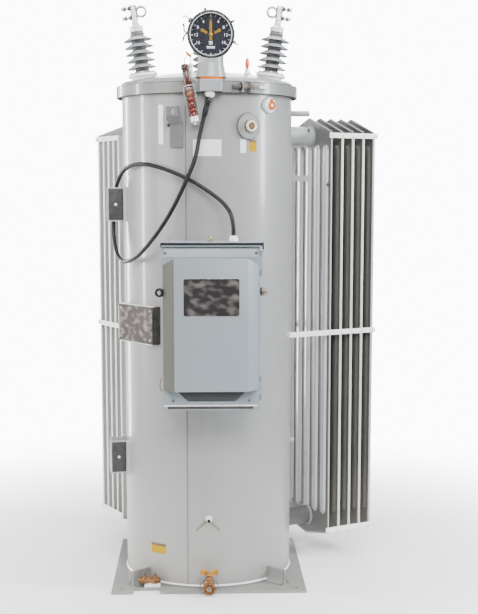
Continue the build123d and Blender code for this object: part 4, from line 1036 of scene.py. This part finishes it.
def makeFittings(facts):
    boss = onTank(*facts["filler"])
    piece = turned("fillerPlugRing", "tinned", facts["fillerRing"], boss, 40, slot="bronze", smooth=40)
    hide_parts("filler_plug")
    core = bmesh.new()
    stud(core, 0.0135, 0.014, boss @ Matrix.Translation((0, 0, 0.009)), 6)
    spun(core, facts["fillerCollar"], boss, 40)
    finishPiece(core, "fillerPlugCore", "bronze", slot="bronze")
    weld = bmesh.new()
    for profile in facts["fillerWelds"]:
        spun(weld, profile, boss, 64)
    finishPiece(weld, "fillerBossWeld", "lugShadeAndSeams", slot="grey_paint", smooth=70, close=False)
    gauge = onTank(*facts["gauge"])
    turned("gaugeRing", "white", facts["gaugeRing"], gauge, 40, slot="grey_paint", smooth=60, close=False)
    eye = bmesh.new()
    spun(eye, facts["gaugeEye"], gauge, 32)
    slab(eye, (0.017, 0.007, 0.006), gauge @ Matrix.Translation((0.004, 0.0245, 0.003)), 0.002)
    finishPiece(eye, "gaugeEye", "orange", slot="orange_gasket", smooth=60, close=False)
    # a white dome of painted highlight on the gauge's lens
    turned("gaugeLensHighlight", "white", facts["gaugeLensHighlight"], gauge, 24, slot="grey_paint", smooth=60)

    bolts = bmesh.new()
    for spot in facts["studs"]:
        stud(bolts, 0.0065, 0.020, onTank(*spot), 14)
        spun(bolts, facts["studTip"], onTank(*spot), 14)
    finishPiece(bolts, "lugStuds", "darkSteel", slot="zinc_steel")

    screw = bmesh.new()   # earth boss, with painted shade for its dark hole and two painted shadow streaks below it
    radius, length = facts["earthHolePaintedShade"]
    stud(screw, radius, length, onTank(*facts["earth"]) @ Matrix.Translation((0.0040, -0.0085, 0)), 24)
    finishPiece(screw, "earthHolePaintedShade", "black", slot="bronze")
    shadowStreaks = bmesh.new()
    azimuth = facts["earth"][0]
    for side in (-1, 1):
        for step in range(facts["shadowSteps"]):
            spot = onTank(azimuth + side * (2.0 + step * 1.7), 0.3125 - step * 0.0105, 0.3875 - step * 0.0002)
            slab(shadowStreaks, (0.0165, 0.0120 - step * 0.0016, 0.0030),
                 spot @ Matrix.Rotation(math.radians(-side * facts["shadowTilt"]), 4, "Z"), 0.001)
    finishPiece(shadowStreaks, "earthBossPaintedShadows", "shadowOlive", slot="bronze")


makeFittings(fittingFacts)
print("fittings made")

# Drain valve: wing handle, egg body and a round plug with a square socket
drainFacts = {
    "x": 0.0, "y": -0.447, "z": 0.036, "front": -0.483, "hubHeight": 0.090, "wingHeight": 0.1025,
    "reach": 0.0245,
    "egg": [(0.0001, -0.0265), (0.0100, -0.0260), (0.0190, -0.0215), (0.0245, -0.0110), (0.0258, 0.0020),
            (0.0235, 0.0150), (0.0190, 0.0260), (0.0168, 0.0340), (0.0172, 0.0400), (0.0160, 0.0440),
            (0.0095, 0.0470), (0.0062, 0.0490), (0.0060, 0.0640), (0.0001, 0.0650)],
    "pipe": [(0.0215, -0.098), (0.0215, -0.022), (0.0250, -0.020), (0.0270, -0.015), (0.0285, -0.010),
             (0.0285, 0.0), (0.0270, 0.0002)],
    "plug": [(0.0275, -0.012), (0.0290, -0.010), (0.0290, -0.0015), (0.0275, 0.0), (0.0225, 0.0002),
             (0.0205, -0.0015), (0.0190, -0.0015)],
    "hub": [(0.0068, 0.0), (0.0098, 0.001), (0.0100, 0.008), (0.0080, 0.0125), (0.0001, 0.0138)],
    "wing": [(0.0070, -0.0022), (0.0085, -0.0042), (0.0125, -0.0050), (0.0155, -0.0036), (0.0165, 0.0),
             (0.0155, 0.0036), (0.0125, 0.0050), (0.0085, 0.0042), (0.0070, 0.0022), (0.0001, 0.0020)],
    "wingBack": [(0.0070, -0.0022), (0.0001, -0.0020)],
    "loop": ((0.016, 0.010, 0.030), (0.034, 0.006, 0.020), (0.042, 0.004, 0.002), (0.036, 0.004, -0.012),
             (0.026, 0.004, -0.008)), "loopRadius": 0.0016,
}


def makeDrain(facts):
    x, y, z = facts["x"], facts["y"], facts["z"]
    egg = bmesh.new()
    spun(egg, facts["egg"], Matrix.Translation((x, y, z)), 40)
    pipe = facing((x, facts["front"], z), forwards)
    spun(egg, facts["pipe"], pipe, 40)
    piece = finishPiece(egg, "drainBody", "bronze", slot="bronze", smooth=50)
    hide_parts("drain_valve")
    plug = bmesh.new()
    spun(plug, facts["plug"], pipe, 44)
    stud(plug, 0.0170, 0.006, pipe @ Matrix.Translation((0, 0, -0.0065)), 30, 0.0150)
    finishPiece(plug, "drainPlug", "bronze", slot="bronze", smooth=45)
    socket = bmesh.new()
    slab(socket, (0.0150, 0.0150, 0.0015), pipe, 0.0005)
    finishPiece(socket, "drainPlugSocket", "darkSteel", slot="bronze")
    wings = bmesh.new()
    spun(wings, facts["hub"], Matrix.Translation((x, y, facts["hubHeight"])), 24)
    for side in (-1, 1):
        place = facing((x + side * facts["reach"], y, facts["wingHeight"]), forwards)
        spun(wings, facts["wing"], place, 28)
        spun(wings, facts["wingBack"], place, 28)
        slab(wings, (0.018, 0.007, 0.010), Matrix.Translation((x + side * 0.010, y, 0.096)), 0.002)
    piece = finishPiece(wings, "drainWings", "brass", body="valve_handle", slot="bronze", smooth=50)
    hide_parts("drain_valve_handle")
    for hand, side in (("L", -1), ("R", 1)):
        bends = [(x + side * across, y + back, z + rise) for across, back, rise in facts["loop"]]
        wire("drainLoop" + hand, bends, facts["loopRadius"], "darkSteel")


makeDrain(drainFacts)

# Grounding connector: a bolted two-part bronze clamp over a pale pad of painted highlight
connectorFacts = {"x": -0.266, "y": -0.361, "z": 0.042, "half": 0.049, "bolts": (-0.024, 0.024),
                  "rows": (-0.015, 0.015), "upper": (0.024, 0.046, 0.009), "lower": (0.026, 0.044, 0.009),
                  "pad": (0.070, 0.034, 0.020)}


def makeConnector(facts):
    x, y, z, half = facts["x"], facts["y"], facts["z"], facts["half"]
    body = bmesh.new()
    spun(body, [(0.0001, -half), (0.0130, -half), (0.0165, -half + 0.003), (0.0150, -half + 0.014),
                (0.0185, -half + 0.020), (0.0195, -0.012), (0.0165, -0.006), (0.0165, 0.006), (0.0195, 0.012),
                (0.0185, half - 0.022), (0.0150, half - 0.016), (0.0160, half - 0.003), (0.0001, half)],
         facing((x, y, z), (1, 0, 0)), 28)
    for shift in facts["bolts"]:
        slab(body, facts["upper"], Matrix.Translation((x + shift, y, z + 0.008)), 0.002)
        slab(body, facts["lower"], Matrix.Translation((x + shift, y, z - 0.006)), 0.002)
    piece = finishPiece(body, "groundClamp", "bronze", slot="bronze", smooth=40)
    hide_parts("ground_connector")
    bolts = bmesh.new()
    for shift in facts["bolts"]:
        for side in facts["rows"]:
            hexBolt(bolts, Matrix.Translation((x + shift, y + side, z + 0.0125)), 0.013, 0.008, True, 0.010)
    finishPiece(bolts, "groundClampBolts", "bronze", slot="bronze")
    blocks("groundPadHighlight", "white", [(facts["pad"], (x + 0.012, y + 0.002, 0.0222), 0.002)], slot="grey_paint")


makeConnector(connectorFacts)
print("valve and clamp made")

# Band bolt: threads, nuts and washers, and the pale keeper beside it
bandBoltFacts = {"azimuth": -67, "radius": 0.424, "z": 2.2135, "half": 0.020, "threads": 18, "pitch": 0.0022,
                 "thread": [(0.0058, 0), (0.0068, 0.0011), (0.0058, 0.0022)],
                 "washer": [(0.007, 0.003), (0.0165, 0.003), (0.0170, 0.0045), (0.0165, 0.0060),
                            (0.007, 0.006)],
                 "keeper": (-55.4, 2.2160, 0.4165), "keeperSize": (0.030, 0.014, 0.020),
                 "keeperScrew": (-55.4, 2.2200, 0.4245)}


def makeBandBolt(facts):
    turn = math.radians(facts["azimuth"])
    middle = Vector((facts["radius"] * math.cos(turn), facts["radius"] * math.sin(turn), facts["z"]))
    along = Vector((-math.sin(turn), math.cos(turn), 0))
    left = facing(middle - along * facts["half"], -along)
    right = facing(middle + along * facts["half"], along)
    threads = bmesh.new()
    for step in range(facts["threads"]):
        spun(threads, facts["thread"], left @ Matrix.Translation((0, 0, 0.006 + step * facts["pitch"])), 18)
    finishPiece(threads, "bandBoltThreads", "darkSteel", slot="zinc_steel", smooth=30, close=False)
    nuts = bmesh.new()
    for place in (left, right):
        hexBolt(nuts, place @ Matrix.Translation((0, 0, 0.004)), 0.022, 0.010)
    finishPiece(nuts, "bandBoltNuts", "darkSteel", slot="zinc_steel")
    washers = bmesh.new()
    for place in (left, right):
        spun(washers, facts["washer"], place, 28)
    finishPiece(washers, "bandBoltWashers", "bronze", slot="zinc_steel", smooth=45)
    keeper = bmesh.new()
    slab(keeper, facts["keeperSize"], onTank(*facts["keeper"]), 0.003)
    finishPiece(keeper, "bandKeeper", "white", slot="grey_paint")
    screw = bmesh.new()
    stud(screw, 0.005, 0.004, onTank(*facts["keeperScrew"]), 16)
    finishPiece(screw, "bandKeeperScrew", "brass", slot="bronze")


makeBandBolt(bandBoltFacts)

# Radiators: weld collars where the headers meet tank and panels, strap bolts and header plugs
radiatorFacts = {
    "headers": (0.182, 2.034), "straps": (0.144, 1.110, 2.033),
    "plugPlace": (0.4843, 0.2050, 2.0626), "plugAim": (0, -1, 0.35),
    "plug": [(0.0001, 0.0075), (0.0060, 0.0075), (0.0072, 0.0060), (0.0074, 0.0)],
    "screwPlace": (0.5655, 0.1015, 1.8061), "screwAim": (-0.883, -0.469, 0),
    "panelWelds": ([(0.0450, -0.0085), (0.0485, -0.0055), (0.0530, -0.0016)],
                   [(0.0530, 0.0016), (0.0485, 0.0055), (0.0450, 0.0085)]),
    "tankWeld": [(0.0452, 0.4030), (0.0490, 0.3950), (0.0550, 0.3865), (0.0560, 0.3790)],
    "endWeld": ((0.0450, -0.003), (0.0465, -0.002), (0.0440, 0.0002)), "endReach": 0.026,
}


def makeRadiatorTrim(facts, banks):
    plugs = bmesh.new()   # plugged boss on the right header, screw on the first right panel
    spun(plugs, facts["plug"], facing(facts["plugPlace"], facts["plugAim"]), 20)
    screw = facing(facts["screwPlace"], facts["screwAim"])
    hexBolt(plugs, screw @ Matrix.Translation((0, 0, -0.002)), 0.014, 0.005)
    finishPiece(plugs, "headerPlugs", "darkSteel", slot="grey_paint")
    welds = bmesh.new()
    bolts = bmesh.new()
    reaches = [banks["first"] + number * banks["pitch"] for number in range(banks["count"])]
    for azimuth in banks["azimuths"].values():
        swing = Matrix.Rotation(math.radians(azimuth), 4, "Z")
        for z in facts["headers"]:
            pipe = swing @ Matrix.Translation((0, 0, z)) @ Matrix.Rotation(math.pi / 2, 4, "Y")
            for reach in reaches:
                for profile in facts["panelWelds"]:
                    spun(welds, profile, pipe @ Matrix.Translation((0, 0, reach)), 40)
            spun(welds, facts["tankWeld"], pipe, 40)
            end = reaches[-1] + facts["endReach"]
            spun(welds, [(radius, end + shift) for radius, shift in facts["endWeld"]], pipe, 40)
        for z in facts["straps"]:
            for side in (-1, 1):
                for reach in reaches:
                    spot = Vector((reach, side * (banks["half"] + 0.006), z))
                    hexBolt(bolts, swing @ facing(spot, (0, side, 0)), 0.011, 0.004, False)
    finishPiece(welds, "headerWelds", "cover", slot="grey_paint", smooth=70, close=False)
    finishPiece(bolts, "strapBolts", "trim", slot="grey_paint")


makeRadiatorTrim(radiatorFacts, bankFacts)

# Side plate: pale rolled rim and rivets on the blank plate
sidePlateFacts = {"azimuth": -144, "rows": (1.1035, 1.2715), "rail": (0.020, 0.262, 0.0030),
                  "railReach": 0.3915,
                  "post": (0.0030, 0.0030, 0.150), "postPlace": (0.4010, -0.1370, 1.1875),
                  "pinReach": 0.4020, "pinColumns": (-0.118, 0.118), "pinRows": (1.122, 1.253),
                  "pin": [(0.0046, 0.0), (0.0042, 0.0012), (0.0026, 0.0022), (0.0001, 0.0026)]}


def makeSidePlate(facts):
    turn = Matrix.Rotation(math.radians(facts["azimuth"]), 4, "Z")
    rim = bmesh.new()
    for z in facts["rows"]:
        slab(rim, facts["rail"], turn @ Matrix.Translation((facts["railReach"], 0, z)), 0.001)
    slab(rim, facts["post"], turn @ Matrix.Translation(facts["postPlace"]), 0.001)
    finishPiece(rim, "sidePlateRim", "white", slot="zinc_steel")
    pins = bmesh.new()
    for across in facts["pinColumns"]:
        for z in facts["pinRows"]:
            place = turn @ Matrix.Translation((facts["pinReach"], across, z))
            spun(pins, facts["pin"], place @ Matrix.Rotation(math.pi / 2, 4, "Y"), 16)
    finishPiece(pins, "sidePlatePins", "zinc", slot="nameplate_metal", smooth=60)


makeSidePlate(sidePlateFacts)

# Painted shade on the hanger brackets' faces, relief flag, side lead, and the plug under the junction box
smallFacts = {
    "hangerAzimuth": 188, "hangerFeet": (0.479, 1.640), "hangerRise": 0.076,
    "hangerShadeSheet": (0.068, 0.0012, 0.140), "relief": (0.181, -0.060), "flagFoot": 2.318,
    "flag": [(0.0001, 0.0), (0.0050, 0.001), (0.0088, 0.014), (0.0098, 0.026), (0.0080, 0.040),
             (0.0036, 0.050), (0.0001, 0.052)],
    "reliefBase": [(0.0200, 2.2900), (0.0200, 2.2985), (0.0140, 2.3010), (0.0105, 2.3060), (0.0100, 2.3160),
                   (0.0001, 2.3178)],
    "sideLead": [(-0.190, -0.560, 1.000), (-0.199, -0.562, 0.992), (-0.207, -0.565, 0.970),
                 (-0.206, -0.565, 0.945), (-0.196, -0.562, 0.932), (-0.190, -0.560, 0.926)],
    "plugPlace": (0.012, -0.440, 2.1905), "plugAim": (-0.26, 0, -1), "plugGrips": 10,
    "plugCollar": [(0.0001, 0.0), (0.0185, 0.0), (0.0192, 0.003), (0.0192, 0.016), (0.0170, 0.019),
                   (0.0150, 0.0235), (0.0001, 0.0236)],
    "plugBoot": [(0.0110, 0.024), (0.0125, 0.026), (0.0125, 0.050), (0.0118, 0.052), (0.0118, 0.070),
                 (0.0122, 0.072), (0.0118, 0.090), (0.0100, 0.103), (0.0092, 0.1045)],
}


def makeSmallParts(facts):
    turn = Matrix.Rotation(math.radians(facts["hangerAzimuth"]), 4, "Z")
    shadeSheets, eyes = bmesh.new(), bmesh.new()
    for foot in facts["hangerFeet"]:
        z = foot + facts["hangerRise"]
        # a thin dark sheet of painted shade on each hanger face
        slab(shadeSheets, facts["hangerShadeSheet"], turn @ Matrix.Translation((0.4230, 0.0527, z)), 0.0004)
        stud(eyes, 0.0062, 0.001, turn @ facing((0.425, 0.0535, z), (0, 1, 0)), 18)
    finishPiece(shadeSheets, "hangerPaintedShadeSheets", "darkShadeAndJoints", slot="grey_paint")
    finishPiece(eyes, "hangerHoles", "white", slot="grey_paint")

    foot = Matrix.Translation((*facts["relief"], facts["flagFoot"]))
    piece = turned("reliefFlag", "red", facts["flag"], foot, 20, slot="red_plastic", smooth=50)
    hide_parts("relief_flag")
    turned("reliefBase", "tinned", facts["reliefBase"], Matrix.Translation((*facts["relief"], 0)), 28,
           slot="terminal_metal", smooth=45)
    wire("cabinetSideLead", facts["sideLead"], 0.0022, "bronze")
    collar = bmesh.new()
    lean = facing(facts["plugPlace"], facts["plugAim"], up=(0, -1, 0))
    spun(collar, facts["plugCollar"], lean, 30)
    for step in range(facts["plugGrips"]):
        slab(collar, (0.0022, 0.005, 0.012), lean @ Matrix.Rotation(step * math.pi / 5, 4, "Z")
             @ Matrix.Translation((0.0196, 0, 0.009)), 0.0006)
    finishPiece(collar, "plugCollar", "white", slot="zinc_steel", smooth=45)
    piece = turned("plugBoot", "cable", facts["plugBoot"], lean, 28, slot="black_cable", smooth=50)
    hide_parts("cable_plug")


makeSmallParts(smallFacts)
print("small parts made")

# Floor, lights and sky
floorFacts = {"radius": 3.4, "solid": 0.7, "tone": (0.97, 0.97, 0.97), "cloudTone": (0.92, 0.92, 0.92)}


def makeFloor(facts):   # pale floor that fades out towards its rim, as under a studio cut-out
    shape = bmesh.new()
    bmesh.ops.create_circle(shape, cap_ends=True, segments=96, radius=facts["radius"])
    mesh = bpy.data.meshes.new("floor")
    shape.to_mesh(mesh)
    shape.free()
    floor = bpy.data.objects.new("floor", mesh)
    bpy.context.scene.collection.objects.link(floor)
    paint = Paint("floorPaint")
    cloud = paint.noise(0.8, 2.0)
    squared = paint.axis(0) * paint.axis(0) + paint.axis(1) * paint.axis(1)
    shown = paint.add("ShaderNodeMapRange", {"interpolation_type": "SMOOTHSTEP"}, {
        "Value": squared, "From Min": facts["solid"] ** 2, "From Max": (facts["radius"] - 0.05) ** 2,
        "To Min": 1.0, "To Max": 0.0})
    color = paint.mix(paint.spread(cloud, 0.3, 0.7, 0, 0.06), facts["tone"], facts["cloudTone"])
    mesh.materials.append(paint.done({"Base Color": color, "Roughness": 0.8, "Alpha": shown}))


lampFacts = {   # place, target, width and height, power, tone
    "keyFront": ((0.3, -5.4, 4.4), (0, 0, 1.3), (4.2, 2.0), 470, (1, 1, 1)),
    "keyRight": ((5.0, -1.1, 3.2), (0.1, 0, 1.5), (0.7, 3.2), 430, (0.93, 0.965, 1.0)),
    "fillLeft": ((-4.4, -3.0, 2.6), (0, 0, 1.3), (2.4, 3.0), 150, (1.0, 0.98, 0.94)),
    "topFill": ((0.4, -0.8, 5.6), (0, 0, 1.6), (3.0, 2.4), 230, (1, 1, 1)),
    "edgeLeft": ((-4.6, 0.3, 1.9), (0, 0, 1.2), (0.28, 2.6), 190, (1, 1, 1)),
    "farLeft": ((-3.6, 3.8, 1.4), (-0.2, 0, 1.2), (0.5, 3.8), 260, (1, 1, 1)),
    "rearSoft": ((0.6, 5.0, 3.6), (0, 0, 1.3), (3.6, 2.4), 260, (1, 1, 1)),
}
skyFacts = {"light": 0.34, "shown": 12.0, "tone": (0.96, 0.97, 1.0, 1)}


def softLight(name, place, target, size, power, tone):
    data = bpy.data.lights.new(name, "AREA")
    data.shape = "RECTANGLE"
    data.size, data.size_y = size
    data.energy = power
    data.color = tone
    lamp = bpy.data.objects.new(name, data)
    aim = Vector(target) - Vector(place)
    lamp.rotation_euler = aim.to_track_quat("-Z", "Y").to_euler()
    lamp.location = place
    bpy.context.scene.collection.objects.link(lamp)


def paleSky(facts):   # the backdrop looks white, and lights the object only softly
    world = bpy.data.worlds.new("paleStudio")
    world.use_nodes = True
    tree = world.node_tree
    path = tree.nodes.new("ShaderNodeLightPath")
    level = tree.nodes.new("ShaderNodeMapRange")
    level.inputs["To Min"].default_value = facts["light"]
    level.inputs["To Max"].default_value = facts["shown"]
    tree.links.new(path.outputs["Is Camera Ray"], level.inputs["Value"])
    background = tree.nodes["Background"]
    tree.links.new(level.outputs[0], background.inputs["Strength"])
    background.inputs["Color"].default_value = facts["tone"]
    bpy.context.scene.world = world


makeFloor(floorFacts)
for name, facts in lampFacts.items():
    softLight(name, *facts)
paleSky(skyFacts)
print("floor, lights and sky made")
